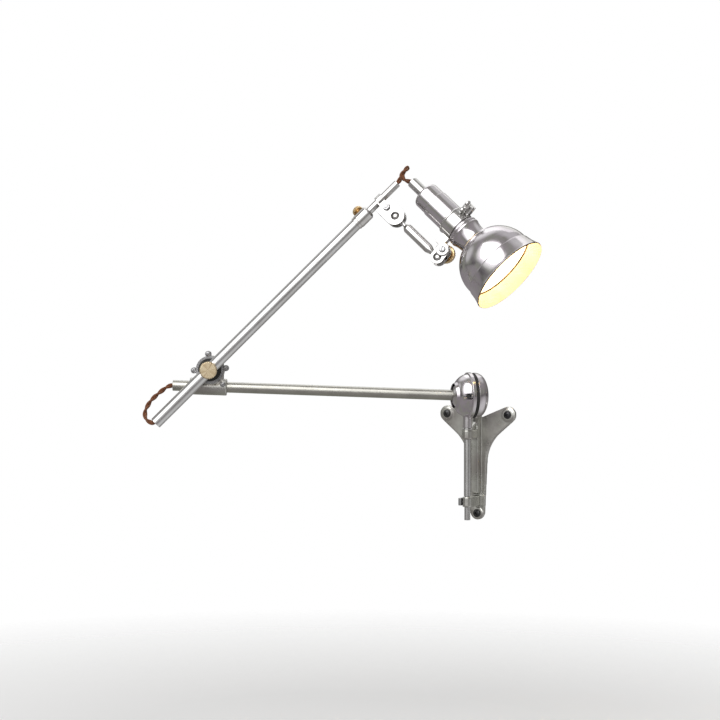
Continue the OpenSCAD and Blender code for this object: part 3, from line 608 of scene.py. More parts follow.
def build_shoulder():
    piece("pintle", "pintle", "steel_tube", spin(
        [(CORD_HOLE_R, PINTLE_FOOT), (TAIL_R, PINTLE_FOOT), (TAIL_R, PINTLE_STEP),
         (PINTLE_R, PINTLE_STEP), (PINTLE_R, PINTLE_TOP), (CORD_HOLE_R, PINTLE_TOP)],
        PINTLE, 0.5), "pintle_tube")

    front = spin(
        [(SHELL_BORE_R, FRONT_FACE), (SHELL_R, FRONT_FACE), (SHELL_R, 0.5), (SHELL_R - 1, 1.2),
         (SHELL_R - 2.4, 1.6)] + arc(8.6, -2.4, 21, 11, 61, 16)
        + [(MOUTH_R, MOUTH_Z), (MOUTH_R, MOUTH_Z - 2), (20.6, 13.4), (24, 8), (SHELL_BORE_R, 3)],
        SHELL, 0.4, SHELL_SIDES)
    front = united(front, rod(NECK_R, NECK_Z, SHOULDER_Z - 25.5, PINTLE, 0.8))
    seats = [SHELL @ turn("Z", a) @ shift(SCREW_RING_R, 0, 0) for a in SHELL_SCREW_ANGLES]
    front = cut(front, *[rod(SEAT_R, 1.2, 30, seat, 0, 40) for seat in seats])
    front = cut(front, rod(PINTLE_R, NECK_Z - 1, PINTLE_TOP, PINTLE, 0))
    piece("shell_front", "pintle", "polished_aluminium", softened(front, 0.5, 3, 45), "front_shell",
          sharp=35)

    rear = spin(
        dome(SHELL_R - 0.5, DOME_DEPTH) + [(0, REAR_FACE - DOME_DEPTH + SHELL_T)]
        + dome(25.5, DOME_DEPTH - SHELL_T)[-2:2:-1]
        + [(GASKET_BORE_R, REAR_FACE - 6), (GASKET_BORE_R, REAR_FACE)], SHELL, 0.4, SHELL_SIDES)
    piece("shell_rear", "pintle", "polished_aluminium", rear, "rear_shell", sharp=35)
    piece("gasket", "pintle", "black_fibre",
          pipe(SHELL_R - 1.6, GASKET_BORE_R, REAR_FACE, FRONT_FACE, SHELL, 0.2, SHELL_SIDES),
          "shell_gasket")
    piece("shell_screws_set", "pintle", "screw_steel", joined([
        slotted_screw(3.3, 2.2, 1.8, 13, seat @ shift(0, 0, 1.2), 20 + 50 * i)
        for i, seat in enumerate(seats)]), "shell_screws")
    for name in ("front_seat", "rear_seat"):
        carry(name, "black_fibre")

    ball = spin([(LOWER_R, -20)] + arc(0, 0, BALL_R, -64, 14, 30) + [(LOWER_R, 5.5)],
                LOWER @ ALONG_X, 0, SHELL_SIDES)
    piece("ball", "lower_arm", "bright_nickel", ball, "shoulder_ball")


# ---- lower arm and elbow ----

LOWER_R, LOWER_WALL, LOWER_TAIL = 7.15, 1.2, 50
UPPER_R, UPPER_WALL, UPPER_TAIL = 7.95, 1.3, 101
DRUM_R, DRUM_FRONT, DRUM_BACK = 19, 11.7, -10
COVER_FRONT, COVER_LUG_T = 13.8, 0.7
COVER_ANGLES = (8, 98, 184)
LUG_RING_R, LUG_R, LUG_SEAT_R = 21.5, 4.1, 3.4
SLEEVE_R, SLEEVE_X = 11.3, (-27, 23)
SLEEVE_BOSS = 10.8
BOLT_R, DISC_R, DISC_Y = 3, 15.3, (9.7, 12.2)
SADDLE_HALF_X, SADDLE_HALF_Z = 23.5, 7.6
CORD_BUSH_R = 3.3
KNOB_R, KNOB_BACK, KNOB_FRONT = 11.8, -9, -19


def build_elbow():
    tail = -ELBOW_REACH - LOWER_TAIL
    tube = LOWER @ ALONG_X
    piece("tube_lower", "lower_arm", "satin_tube",
          pipe(LOWER_R, LOWER_R - LOWER_WALL, tail, -9, tube, 0.35), "lower_tube")
    piece("bush_lower", "lower_arm", "black_fibre",
          pipe(LOWER_R - LOWER_WALL, CORD_BUSH_R, tail + 1, tail + 6, tube, 0.4), "lower_tube_bush")

    front = ELBOW @ TO_FRONT
    sleeve = ELBOW @ shift(0, 0, -ELBOW_RISE)
    boss = ELBOW @ shift(SLEEVE_X[1] - 5, 0, 4 - ELBOW_RISE) @ TO_FRONT
    lugs = [front @ turn("Z", a) @ shift(LUG_RING_R, 0, 0) for a in COVER_ANGLES]
    casting = cast(
        [rod(DRUM_R, DRUM_BACK, DRUM_FRONT, front, 0.8, 96),
         brick((-17, 18), (-DRUM_FRONT + 1.5, 9), (-ELBOW_RISE, -3), ELBOW),
         rod(SLEEVE_R, SLEEVE_X[0], SLEEVE_X[1], sleeve @ ALONG_X, 1.2),
         rod(4.6, 2, SLEEVE_BOSS, boss, 0.6)]
        + [rod(LUG_R, 2, DRUM_FRONT, lug, 0.5) for lug in lugs], 0.5, 6)
    for tool in ([rod(LOWER_R, -40, 40, sleeve @ ALONG_X, 0), rod(BOLT_R + FIT, -20, 20, front, 0)]
                 + [rod(1.6, 7.5, 20, lug, 0, 32) for lug in lugs]
                 + [rod(2.1, 1, 20, boss, 0, 32), rod(3.9, SLEEVE_BOSS, 20, boss, 0, 48)]):
        casting = cut(casting, tool)
    piece("elbow_body", "lower_arm", "cast_aluminium", casting, "elbow_casting", sharp=50)

    lug_face = DRUM_FRONT + COVER_LUG_T
    ring = united(pipe(DRUM_R - 0.4, DISC_R + 0.3, DRUM_FRONT, COVER_FRONT, front, 0.0, 112),
                  *[rod(LUG_R, DRUM_FRONT, lug_face, lug, 0, 40) for lug in lugs])
    ring = cut(ring, rod(DISC_R + 0.3, 10, 20, front, 0, 112))
    ring = cut(ring, *[rod(1.7, 10, 20, lug, 0, 32) for lug in lugs])
    ring = cut(ring, *[rod(LUG_SEAT_R, lug_face, 20, lug, 0, 48) for lug in lugs])
    piece("cover_ring", "lower_arm", "dark_cover", softened(ring, 0.35, 2, 45), "elbow_cover_ring")
    piece("cover_screws", "lower_arm", "screw_steel", joined([
        slotted_screw(3.3, 1.6, 1.5, 4.5, lug @ shift(0, 0, lug_face), 40 + 35 * i)
        for i, lug in enumerate(lugs)]), "elbow_cover_screws")
    piece("boss_screw", "lower_arm", "screw_steel",
          slotted_screw(3.6, 2.2, 2, 3.5, boss @ shift(0, 0, SLEEVE_BOSS), 25), "sleeve_screw")

    back = UPPER @ TO_BACK
    piece("disc", "upper_arm", "black_fibre", pipe(DISC_R, BOLT_R, *DISC_Y, back, 0.5, 96),
          "friction_disc")
    upper = UPPER @ ALONG_X
    saddle = softened(brick((-SADDLE_HALF_X, SADDLE_HALF_X), (1.5, DISC_Y[0]),
                            (-SADDLE_HALF_Z, SADDLE_HALF_Z), UPPER), 1.2, 4)
    saddle = cut(cut(saddle, rod(UPPER_R, -60, 60, upper, 0)), rod(BOLT_R, 0, 20, back, 0))
    piece("saddle", "upper_arm", "bright_nickel", saddle, "tube_saddle")
    piece("tube_upper", "upper_arm", "steel_tube", cut(
        pipe(UPPER_R, UPPER_R - UPPER_WALL, -UPPER_TAIL, COUPLING_STOP - 0.2, upper, 0.35),
        rod(BOLT_R, -20, 20, back, 0)), "upper_tube")
    piece("bush_upper", "upper_arm", "black_fibre",
          pipe(UPPER_R - UPPER_WALL, 5.5, 1 - UPPER_TAIL, 6 - UPPER_TAIL, upper, 0.4),
          "upper_tube_bush")
    nut_at = ARM_OFFSET + 10 + 0.1
    bolt_head = softened(hexagon(10, nut_at, nut_at + 4.9, back), 0.5, 2)
    piece("elbow_bolt", "upper_arm", "screw_steel",
          joined([rod(BOLT_R, KNOB_FRONT + 2.5, nut_at + 1, back), bolt_head]), "pivot_bolt")
    piece("washer", "upper_arm", "screw_steel",
          pipe(6.5, BOLT_R, KNOB_BACK + 0.05, -UPPER_R, back, 0.2), "knob_washer")
    knob = spin(
        [(0, KNOB_FRONT), (KNOB_R - 1.2, KNOB_FRONT), (KNOB_R, KNOB_FRONT + 1.1),
         (KNOB_R, KNOB_BACK - 2.5), (8, KNOB_BACK - 2.5), (8, KNOB_BACK), (BOLT_R + FIT, KNOB_BACK),
         (BOLT_R + FIT, KNOB_FRONT + 2.4), (0, KNOB_FRONT + 2.4)], back, 0.25, 144, 24, 0.45)
    piece("knob", "elbow_knob", "turned_brass", knob, "elbow_knob")


# ---- coupling, extension and link ----

COUPLING_AT, COUPLING_LEN = 277, 25
COUPLING_STOP = COUPLING_AT + 11
COUPLING_R, COUPLING_NECK_R = 9.5, 8.9
EXTENSION_R, EXTENSION_WALL = 5, 1.2
EXTENSION_START, EXTENSION_END = 240, 354.5
COLLAR_R, COLLAR_LEN = 7.25, 9.5
THUMB_TURN, THUMB_R, THUMB_OUT = 37, 7.3, (15, 20)
LINK_AT, BOLT_1, STUD_R = 321, 16, 2.5
BALL_1, BALL_2, LINK_BALL_R = 33.5, 117, 7
PLATE_IN, PLATE_OUT, PLATE_HOLE_R = 4.6, 6.6, 5.6
LINK = HEAD_PLANE @ shift(LINK_AT, 0, 0)
LINK_BOLT = HEAD_PLANE @ shift(LINK_AT + 0.5, 0, BOLT_1) @ TO_BACK


def tongue(outline, holes, at):
    """The front and back clamp plates. Outline and holes are (x, z) in the plane of the head."""
    for side, flip in (("front", -1), ("back", 1)):
        low, high = sorted((flip * PLATE_IN, flip * PLATE_OUT))
        # TO_FRONT turns the outline's second number to +Z, and its thickness to -Y
        plate = slab(outline, -high, -low, at @ TO_FRONT)
        plate = cut(plate, *[rod(r, -high - 1, -low + 1, at @ shift(x, 0, z) @ TO_FRONT, 0, 48)
                             for x, z, r in holes])
        plate = softened(plate, 0.4, 3)
        # edge and bore faces get the sheared edge finish, which is partly painted shade
        facing = (at @ TO_FRONT).to_3x3() @ Vector((0, 0, 1))
        for face in plate.polygons:
            face.material_index = int(abs(face.normal.dot(facing)) < 0.8)
        yield side, plate


def build_extension():
    upper = UPPER @ ALONG_X
    end = COUPLING_AT + COUPLING_LEN
    bore = EXTENSION_R + FIT
    sleeve = spin(
        [(bore, COUPLING_STOP), (UPPER_R + FIT, COUPLING_STOP), (UPPER_R + FIT, COUPLING_AT),
         (COUPLING_NECK_R, COUPLING_AT), (COUPLING_NECK_R, COUPLING_AT + 4),
         (COUPLING_R, COUPLING_AT + 4.4), (COUPLING_R, end - 3), (COUPLING_R - 2.6, end), (bore, end)],
        upper, 0.4, 96)
    thumb = UPPER @ shift(COUPLING_AT + 14.4, 0, 0) @ turn("X", THUMB_TURN) @ TO_BACK
    shank_r, (low, high) = 2.3, THUMB_OUT
    piece("coupling", "coupling", "bright_nickel",
          cut(sleeve, rod(shank_r + FIT, 0, 20, thumb, 0)), "coupling_sleeve")
    screw = spin(
        [(0, EXTENSION_R + 0.3), (shank_r, EXTENSION_R + 0.3), (shank_r, COUPLING_R + 0.6),
         (3.8, COUPLING_R + 0.6), (3.8, low), (THUMB_R, low), (THUMB_R, high), (2.6, high),
         (2.2, high - 0.4), (0, high - 0.5)], thumb, 0.35, 144, 18, 0.4)
    piece("thumbscrew", "coupling_screw", "brass", screw, "coupling_thumbscrew")
    piece("tube_extension", "extension", "bright_nickel",
          pipe(EXTENSION_R, EXTENSION_R - EXTENSION_WALL, EXTENSION_START, EXTENSION_END, upper, 0.35),
          "extension_tube")
    piece("bush_extension", "extension", "black_fibre",
          pipe(EXTENSION_R - EXTENSION_WALL, CORD_BUSH_R, EXTENSION_END - 5, EXTENSION_END - 1,
               upper, 0.2),
          "extension_bush")

    band = HEAD_PLANE @ shift(LINK_AT + 2, 0, 0) @ ALONG_X
    collar = united(
        rod(COLLAR_R, -COLLAR_LEN / 2, COLLAR_LEN / 2, band, 0, 72),
        brick((LINK_AT - 4.5, LINK_AT + 5.5), (-PLATE_IN, PLATE_IN), (0, BOLT_1), HEAD_PLANE),
        rod(5, -PLATE_IN, PLATE_IN, LINK_BOLT, 0, 48))
    collar = cut(softened(collar, 0.6, 3, 45), rod(EXTENSION_R, -30, 30, band, 0),
                 rod(STUD_R, -10, 10, LINK_BOLT, 0, 32))
    piece("collar", "extension", "bright_nickel", collar, "tube_collar")

    plate_r = 12.7
    outline = ([(LINK_AT - plate_r, 9), (LINK_AT + plate_r, 9)]
               + arc(LINK_AT, BALL_1, plate_r, 0, 180, 32))
    holes = [(LINK_AT, BALL_1, PLATE_HOLE_R), (LINK_AT + 0.5, BOLT_1, STUD_R)]
    for side, plate in tongue(outline, holes, HEAD_PLANE):
        piece(f"upper_plate_{side}", "extension", "bright_nickel", plate, f"link_plate_{side}",
              others=("sheared_and_shaded_edge",))
    bolt_end = PLATE_OUT + 3.5
    piece("upper_bolt", "extension", "screw_steel", joined(
        [rod(STUD_R, -bolt_end + 1, PLATE_OUT + 4.5, LINK_BOLT),
         softened(hexagon(8, -bolt_end, -PLATE_OUT, LINK_BOLT), 0.5, 2)]), "link_bolt")
    piece("upper_nut", "extension", "screw_steel", joined(
        [cut(softened(hexagon(9, PLATE_OUT + 0.6, PLATE_OUT + 4, LINK_BOLT), 0.5, 2),
             rod(STUD_R, 0, 20, LINK_BOLT, 0)),
         pipe(5.4, STUD_R, PLATE_OUT, PLATE_OUT + 0.6, LINK_BOLT, 0.15)]), "link_nut")

    neck, thick = 2.4, 6.4
    top, bottom = BALL_1 + 18.5, BALL_2 - 10.5
    piece("rod_link", "link", "bright_nickel", spin(
        [(0, top), (neck + 1, top), (thick, BALL_1 + 23), (thick, BALL_2 - 19.5),
         (neck + 0.8, bottom), (0, bottom)], LINK, 0.9, 72), "link_rod")
    ball = arc(0, BALL_1, LINK_BALL_R, -90, 70, 24)
    piece("ball_upper", "link", "bright_nickel", spin(
        ball + [(neck, BALL_1 + LINK_BALL_R - 0.4), (neck, top), (0, top)], LINK, 0.25, 72),
        "upper_ball_stud")
    ball = arc(0, BALL_2, LINK_BALL_R, -70, 90, 24)
    piece("ball_lower", "link", "bright_nickel", spin(
        [(0, bottom), (neck, bottom), (neck, BALL_2 - LINK_BALL_R + 0.4)] + ball, LINK, 0.25, 72),
        "lower_ball_stud")


# ---- clamp band and lower joint ----

CAP_R, BAND_R, BAND_S = 19.3, 20.9, (76.8, 96.7)
EAR_TURN, EAR_GAP, EAR_T, EAR_LEN = 20, 3, 3, 33
BOLT_2, HEAD_DISC_R = (332.5, 115.3), 9.1
WHEEL_R, WHEEL_FRONT, WHEEL_BACK = 12.5, -18.5, -12.5
WING_R, WING_HALF_T = 2.2, 1.3
HEAD_BOLT = HEAD_PLANE @ shift(BOLT_2[0], 0, BOLT_2[1]) @ TO_BACK
EARS = HEAD @ turn("Z", EAR_TURN)
WING = EARS @ shift(EAR_LEN - 4.5, 0, sum(BAND_S) / 2) @ TO_BACK


def build_band():
    low, high = BAND_S
    (x, z), (bx, bz) = (LINK_AT, BALL_2), BOLT_2
    ears = [brick((CAP_R + 0.4, EAR_LEN), sorted((side * EAR_GAP / 2, side * (EAR_GAP / 2 + EAR_T))),
                  (low + 3.5, high - 3), EARS) for side in (-1, 1)]
    web_top = INLET_AT + high - 0.5
    across = (-PLATE_IN, PLATE_IN)
    solids = [rod(BAND_R, low, high, HEAD, 0.5, 96),
              rod(BAND_R + 0.6, low + 1, low + 3, HEAD, 0.4, 96),
              brick((bx + 2, HEAD_AT - CAP_R - 1), across, (web_top - 11.5, web_top), HEAD_PLANE),
              brick((bx - 3.6, bx + 6.5), across, (bz - 7, bz + 0.6), HEAD_PLANE),
              rod(4.1, *across, HEAD_BOLT, 0.3)]
    band = cast(solids + ears, 0.42, 3)
    for tool in (rod(CAP_R + 0.06, low - 5, high + 30, HEAD, 0, 128),
                 brick((10, 50), (-EAR_GAP / 2, EAR_GAP / 2), (low - 5, high + 5), EARS),
                 rod(WING_R + FIT, -12, 12, WING, 0, 40), rod(STUD_R, -10, 10, HEAD_BOLT, 0, 40)):
        band = cut(band, tool)
    piece("band", "head_band", "bright_nickel", band, "clamp_band", sharp=50)

    radius = 9.4
    outline = arc(bx, bz, radius, -90, 90, 24) + arc(x, z, radius, 90, 270, 24)
    holes = [(x, z, PLATE_HOLE_R), (bx, bz, STUD_R)]
    for side, plate in tongue(outline, holes, HEAD_PLANE):
        piece(f"lower_plate_{side}", "head_band", "bright_nickel", plate, f"head_plate_{side}",
              others=("sheared_and_shaded_edge",))
    piece("lower_bolt", "head_band", "screw_steel", joined(
        [rod(STUD_R, WHEEL_FRONT + 2.5, PLATE_OUT + 3, HEAD_BOLT),
         slotted_screw(4.6, 2.8, 2.4, 1, HEAD_BOLT @ shift(0, 0, PLATE_OUT + 2.2), 30)]), "head_bolt")
    piece("bolt_disc", "head_band", "bright_nickel", spin(
        [(STUD_R, PLATE_OUT), (HEAD_DISC_R, PLATE_OUT), (HEAD_DISC_R, PLATE_OUT + 1.4),
         (HEAD_DISC_R - 1.2, PLATE_OUT + 2.2), (STUD_R, PLATE_OUT + 2.2)], HEAD_BOLT, 0.3, 96),
        "head_disc")
    piece("wheel", "thumb_nut", "brass", spin(
        [(0, WHEEL_FRONT), (WHEEL_R - 0.8, WHEEL_FRONT), (WHEEL_R, WHEEL_FRONT + 0.9),
         (WHEEL_R, WHEEL_BACK - 0.9), (WHEEL_R - 0.8, WHEEL_BACK), (6, WHEEL_BACK),
         (6, -PLATE_OUT - 0.1), (STUD_R + FIT, -PLATE_OUT - 0.1), (STUD_R + FIT, WHEEL_FRONT + 2.4),
         (0, WHEEL_FRONT + 2.4)], HEAD_BOLT, 0.3, 168, 24, 0.5), "thumb_nut")
    thick = (-WING_HALF_T, WING_HALF_T)
    wing = cast(
        [rod(3.6, 5.2, 11, WING, 0.6, 48), brick((-5, 5), thick, (8, 12), WING)]
        + [rod(4.6, *thick, WING @ shift(side * 5.6, 0, 12) @ TO_FRONT, 0.6, 40)
           for side in (-1, 1)], 0.3, 5)
    piece("wing", "wing_screw", "bright_nickel", joined([wing, rod(WING_R, -9, 8, WING, 0.4)]),
          "wing_screw", sharp=60)


# ---- lamp head ----

INLET_R, CAP_TOP, CAP_STEP, CAP_END = 7.4, 24, 44.8, 100.5
INLET_BORE_R, INLET_FOOT_R = 4.85, 5.6
SOCKET_R, SOCKET_BORE_R, CAP_WALL = 16.8, 13.6, 1.8
NECK_S = (98.2, 125)
CREASE_S, HEAD_LEN, RIM_R, SHADE_T = 170.5, 191.5, 56.7, 1.1
BASE_S, BULB_S, BULB_R = (70.6, 98), 140, 24


def bowl_curve(inset, steps=18):
    """The round part of the bowl, from its shoulder down to the crease."""
    wide, deep = 51, 47.5
    angles = [math.radians(40 + 48 * i / steps) for i in range(steps + 1)]
    return [(wide * math.sin(a) - 0.2 - inset, CREASE_S - 4.5 - deep * math.cos(a) + inset / 2)
            for a in angles]


def build_head():
    top = CAP_TOP + 0.2
    piece("inlet", "head", "bright_nickel", spin(
        [(INLET_BORE_R, 0), (INLET_R, 0), (INLET_R, CAP_TOP - 1.5), (INLET_R + 1.4, CAP_TOP),
         (INLET_R + 1.4, top), (INLET_FOOT_R, top), (INLET_FOOT_R, CAP_TOP + 5),
         (INLET_BORE_R, CAP_TOP + 5)], HEAD, 0.7, 72), "cord_inlet")
    piece("cap", "head", "polished_aluminium", spin(
        [(INLET_FOOT_R, top), (13.4, top)] + arc(13.4, CAP_TOP + 5.2, 5, -90, 0, 14)
        + [(CAP_R - 0.9, CAP_STEP), (CAP_R, CAP_STEP + 0.6), (CAP_R, CAP_END),
           (CAP_R - CAP_WALL, CAP_END), (CAP_R - CAP_WALL, CAP_STEP - 4), (CAP_R - 2.4, CAP_STEP - 5),
           (CAP_R - 2.4, CAP_TOP + 5), (13, CAP_TOP + 2.2), (INLET_FOOT_R, CAP_TOP + 2.2)],
        HEAD, 0.3, 128), "socket_cap")
    body = united(rod(SOCKET_R, 50, 96, HEAD, 0, 96),
                  rod(CAP_R - CAP_WALL, CAP_STEP + 8, 58, HEAD, 0, 96))
    body = cut(body, rod(SOCKET_BORE_R, 65.5, 100, HEAD, 0, 96))
    body = cut(body, *[rod(1.6, 40, 65, HEAD @ shift(side * 8, 0, 0), 0, 32) for side in (-1, 1)])
    piece("socket", "head", "porcelain", softened(body, 0.5, 3, 45), "socket_body")
    piece("thread_shell", "head", "brass",
          pipe(SOCKET_BORE_R, SOCKET_BORE_R - 0.4, 72, 95, HEAD, 0.1, 96), "screw_shell")
    for name in ("centre_contact", "terminal_screws"):
        carry(name, "brass")

    n0, n1 = NECK_S
    piece("neck", "head", "polished_aluminium", spin(
        [(CAP_R, n0), (21.6, n0), (22.4, n0 + 1), (22.4, n0 + 3), (21.7, n0 + 4),
         (22.7, n0 + 5.4), (22.7, n0 + 7.4), (21.8, n0 + 8.8), (20.8, n0 + 13), (20.1, n0 + 19),
         (20.2, n0 + 24), (21.6, n1), (20.3, n1), (19, n0 + 24), (18.9, n0 + 19), (19.6, n0 + 13),
         (20.5, n0 + 8), (20.5, n0 + 1.2), (CAP_R, n0 + 1.2)], HEAD, 0.6, 128),
        "shade_neck", sharp=60)

    outside = ([(21.6, n1 - 1.6), (23.4, n1 - 1.2), (23.8, n1), (23.2, n1 + 1.2), (26, n1 + 1.6),
                (29.5, n1 + 2.4), (30.4, n1 + 4)] + bowl_curve(0)
               + [(50.8, CREASE_S - 1), (51.9, CREASE_S), (52.4, CREASE_S + 3), (53.4, CREASE_S + 9),
                  (55, CREASE_S + 15), (RIM_R - 0.8, HEAD_LEN - 3), (RIM_R, HEAD_LEN - 1.6)])
    inside = ([(RIM_R - 0.9, HEAD_LEN), (RIM_R - 1.9, HEAD_LEN - 3), (55 - SHADE_T, CREASE_S + 15),
               (53.4 - SHADE_T, CREASE_S + 9), (52.4 - SHADE_T, CREASE_S + 3),
               (51.9 - SHADE_T, CREASE_S + 0.6), (50.8 - SHADE_T, CREASE_S - 0.6)]
              + bowl_curve(SHADE_T)[::-1] + [(29, n1 + 3.8), (21.6, n1 + 1.4)])
    bowl = spin(outside + inside, HEAD, 0.35, 160)
    axis, mouth = HEAD.to_3x3() @ Vector((0, 0, 1)), HEAD.translation
    # a face's material index counts the finish, then the others given to piece() below
    plain_lining, painted_crease_line, flare, lit = 1, 2, 3, 4
    for face in bowl.polygons:
        away = face.center - mouth
        height = away.dot(axis)
        radial = away - axis * height
        lining = face.normal.dot(radial) < 0 and height > n1 + 1 or radial.length < 22
        rim = height > HEAD_LEN - 1.2
        step = CREASE_S - 0.7 < height < CREASE_S + 0.9
        seam = n1 - 0.1 < height < n1 + 1.3 and 22.5 < radial.length < 24.4
        # the rim and the step get painted lines of light and shade, and the seam a painted glow
        if rim or lining and step:
            face.material_index = painted_crease_line
        elif lining:
            face.material_index = flare if height > CREASE_S else plain_lining
        elif seam:
            face.material_index = lit
    piece("bowl", "head", "polished_aluminium", bowl, "shade_bowl", sharp=60,
          others=("shade_lining", "lining_ring", "shade_flare", "lit_seam"))

    piece("lamp_base", "head", "brass", spin(
        [(0, BASE_S[0]), (5, BASE_S[0]), (5, BASE_S[0] + 3), (12.9, BASE_S[0] + 3), (12.9, BASE_S[1]),
         (12.2, BASE_S[1]), (12.2, BASE_S[0] + 4), (0, BASE_S[0] + 4)], HEAD, 0.3, 96), "bulb_base")
    wall, (_, base_end) = 0.9, BASE_S
    piece("lamp", "head", "bulb_glass", spin(
        [(12.4, base_end), (12.9, 106), (14, 112)] + arc(0, BULB_S, BULB_R, -50, 90, 40)
        + arc(0, BULB_S, BULB_R - wall, 90, -50, 40)
        + [(14 - wall, 112.4), (12.9 - wall, 106), (12.4 - wall, base_end)], HEAD, 0, 96),
        "bulb_glass", sharp=180)


# ---- cords ----

CORD_D, CORE_R, CORE_OFFSET, TWIST = 6.2, 1.75, 1.45, 27.0
# routes in mm: the elbow's in the shoulder's frame, the head's in the head plane's
ELBOW_ROUTE = [
    (-391, 0, 14), (-398, 0, 14), (-405, -1, 12), (-412, -3, 7), (-419, -6, 1), (-426, -9, -6),
    (-431, -12, -14), (-433.5, -15, -21), (-433, -19, -28), (-429, -22, -33), (-423, -24, -35.5),
    (-417.5, -24, -33.5), (-413, -24, -29.5)]
HEAD_ROUTE = [
    (347, 0, 0), (354, 0, 0), (359.5, -1.5, -1.5), (364.5, -5, -5), (369, -8, -8), (374, -8, -8.5),
    (377.5, -4.5, -7), (378.5, 0, -5.5), (377.5, 4.5, -3.5), (374, 8, -2), (369, 9, -1),
    (365, 8.5, 2), (364, 6, 6.5), (366.5, 2.5, 10.5), (369, 0.5, 14), (369.5, 0, 18), (369.5, 0, 23)]
LOOP_TOP = (378.5, 0, -5.5)


def smooth_route(points, step=0.6):
    """Points close together on a curve through the route's points."""
    points = [Vector(p) for p in points]
    out = []
    for i in range(len(points) - 1):
        p0, p1, p2 = points[max(i - 1, 0)], points[i], points[i + 1]
        p3 = points[min(i + 2, len(points) - 1)]
        count = max(2, round((p2 - p1).length / step))
        for k in range(count):
            t = k / count
            out.append(0.5 * (2 * p1 + (p2 - p0) * t + (2 * p0 - 5 * p1 + 4 * p2 - p3) * t * t
                              + (3 * p1 - p0 - 3 * p2 + p3) * t ** 3))
    return out + [points[-1]]


def twisted(line, start_turn=0.0, sides=20):
    """Two cores laid round each other along a line, with the line's run in its UV map."""
    bm = bmesh.new()
    uv = bm.loops.layers.uv.new("surface")
    tangents = [(line[min(i + 1, len(line) - 1)] - line[max(i - 1, 0)]).normalized()
                for i in range(len(line))]
    across = tangents[0].orthogonal().normalized()
    frames, run = [], 0.0
    for i, (point, t) in enumerate(zip(line, tangents)):
        across = (across - t * across.dot(t)).normalized()
        run += (point - line[i - 1]).length if i else 0
        frames.append((point, across.copy(), t.cross(across), run))
    for core in (0, 1):
        rows = []
        for point, n, b, length in frames:
            lay = start_turn + math.tau * length / TWIST + math.pi * core
            centre = point + CORE_OFFSET * (math.cos(lay) * n + math.sin(lay) * b)
            rows.append([bm.verts.new(centre + CORE_R * (
                math.cos(lay + a) * n + math.sin(lay + a) * b))
                for a in (math.tau * k / sides for k in range(sides))])
        for i in range(len(rows) - 1):
            for k in range(sides):
                m = (k + 1) % sides
                face = bm.faces.new((rows[i][k], rows[i + 1][k], rows[i + 1][m], rows[i][m]))
                around = math.tau * CORE_R / sides
                corners = ((i, k), (i + 1, k), (i + 1, k + 1), (i, k + 1))
                for loop, (u, v) in zip(face.loops, corners):
                    loop[uv].uv = (frames[u][3], v * around)
        bm.faces.new(rows[0])
        bm.faces.new(rows[-1])
    return mesh_of(bm)


def line_length(line):
    return sum((b - a).length for a, b in zip(line, line[1:]))


def lay_cord(name, route, at, bodies, start, end, *nodes, start_turn=0.0):
    """One cord piece along a route. Its bodies, start and end are not used."""
    line = [at @ p for p in route]
    obj = dressed(name, twisted(line, start_turn), ["brown_cord"])
    if nodes:
        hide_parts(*nodes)
    path = [tuple(p * MM) for p in line]
    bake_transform(obj)
    tuple(path[0])
    line_length(line) * MM


def build_cords():
    lay_cord("cord_elbow", smooth_route(ELBOW_ROUTE), SHOULDER, ("lower_arm", "upper_arm"),
             (-402, -2, 12), (-426, -22, -33), "elbow_cord")
    line = smooth_route(HEAD_ROUTE)
    middle = min(range(len(line)), key=lambda i: (line[i] - Vector(LOOP_TOP)).length)
    lay_cord("cord_head_arm", line[:middle + 1], HEAD_PLANE, ("extension", "link"),
             (356, 0, 0), LOOP_TOP, "head_cord")
    lay_cord("cord_head_cap", line[middle:], HEAD_PLANE, ("link", "head_band"),
             LOOP_TOP, (368, 1, 11), start_turn=math.tau * line_length(line[:middle + 1]) / TWIST)


build_bracket()
build_shoulder()
build_elbow()
build_extension()
build_band()
build_head()
build_cords()


# ---- stage, light and camera ----

FLOOR_AT, FLOOR_R, FLOOR_CLEAR_R = (-0.1, -0.2, -0.36), 1.3, 0.35
WHITE = (1, 1, 1)
# the studio's grey from straight down, 0, to straight up, 1
SKY = [(0.0, 0.24), (0.30, 0.30), (0.46, 0.26), (0.50, 0.06), (0.54, 0.14), (0.70, 0.24),
       (1.0, 0.36)]
# soft boxes: (degrees right of the camera, degrees up, inner and outer half width, light)
SOFT_BOXES = [(-36, 31, 22, 39, 1.35), (1, 9, 7, 16, 1.0), (72, -38, 18, 44, 0.62),
              (130, 60, 14, 28, 0.6), (205, 50, 14, 28, 0.9), (250, 20, 8, 18, 0.6)]


def build_floor():
    """A pale floor that fades out before the horizon."""
    bm = bmesh.new()
    bmesh.ops.create_circle(bm, cap_ends=True, segments=96, radius=FLOOR_R,
                            matrix=Matrix.Translation(FLOOR_AT))
    mesh = bpy.data.meshes.new("floor")
    bm.to_mesh(mesh)
    bm.free()
    floor = scene_object("floor", mesh)
    mat, tree, bsdf, place, _ = material("floor")
    centred = node(tree, "ShaderNodeVectorMath", {0: place, 1: FLOOR_AT}, operation="SUBTRACT")
    away = node(tree, "ShaderNodeVectorMath", {0: centred.outputs[0]}, operation="LENGTH")
    feed(tree, bsdf, {
        "Alpha": spread(tree, away.outputs["Value"], 1.0, 0.0, FLOOR_CLEAR_R, FLOOR_R - 0.05),
        "Base Color": (0.93, 0.93, 0.93, 1), "Roughness": 0.9})
    mesh.materials.append(mat)
    floor.visible_glossy = False


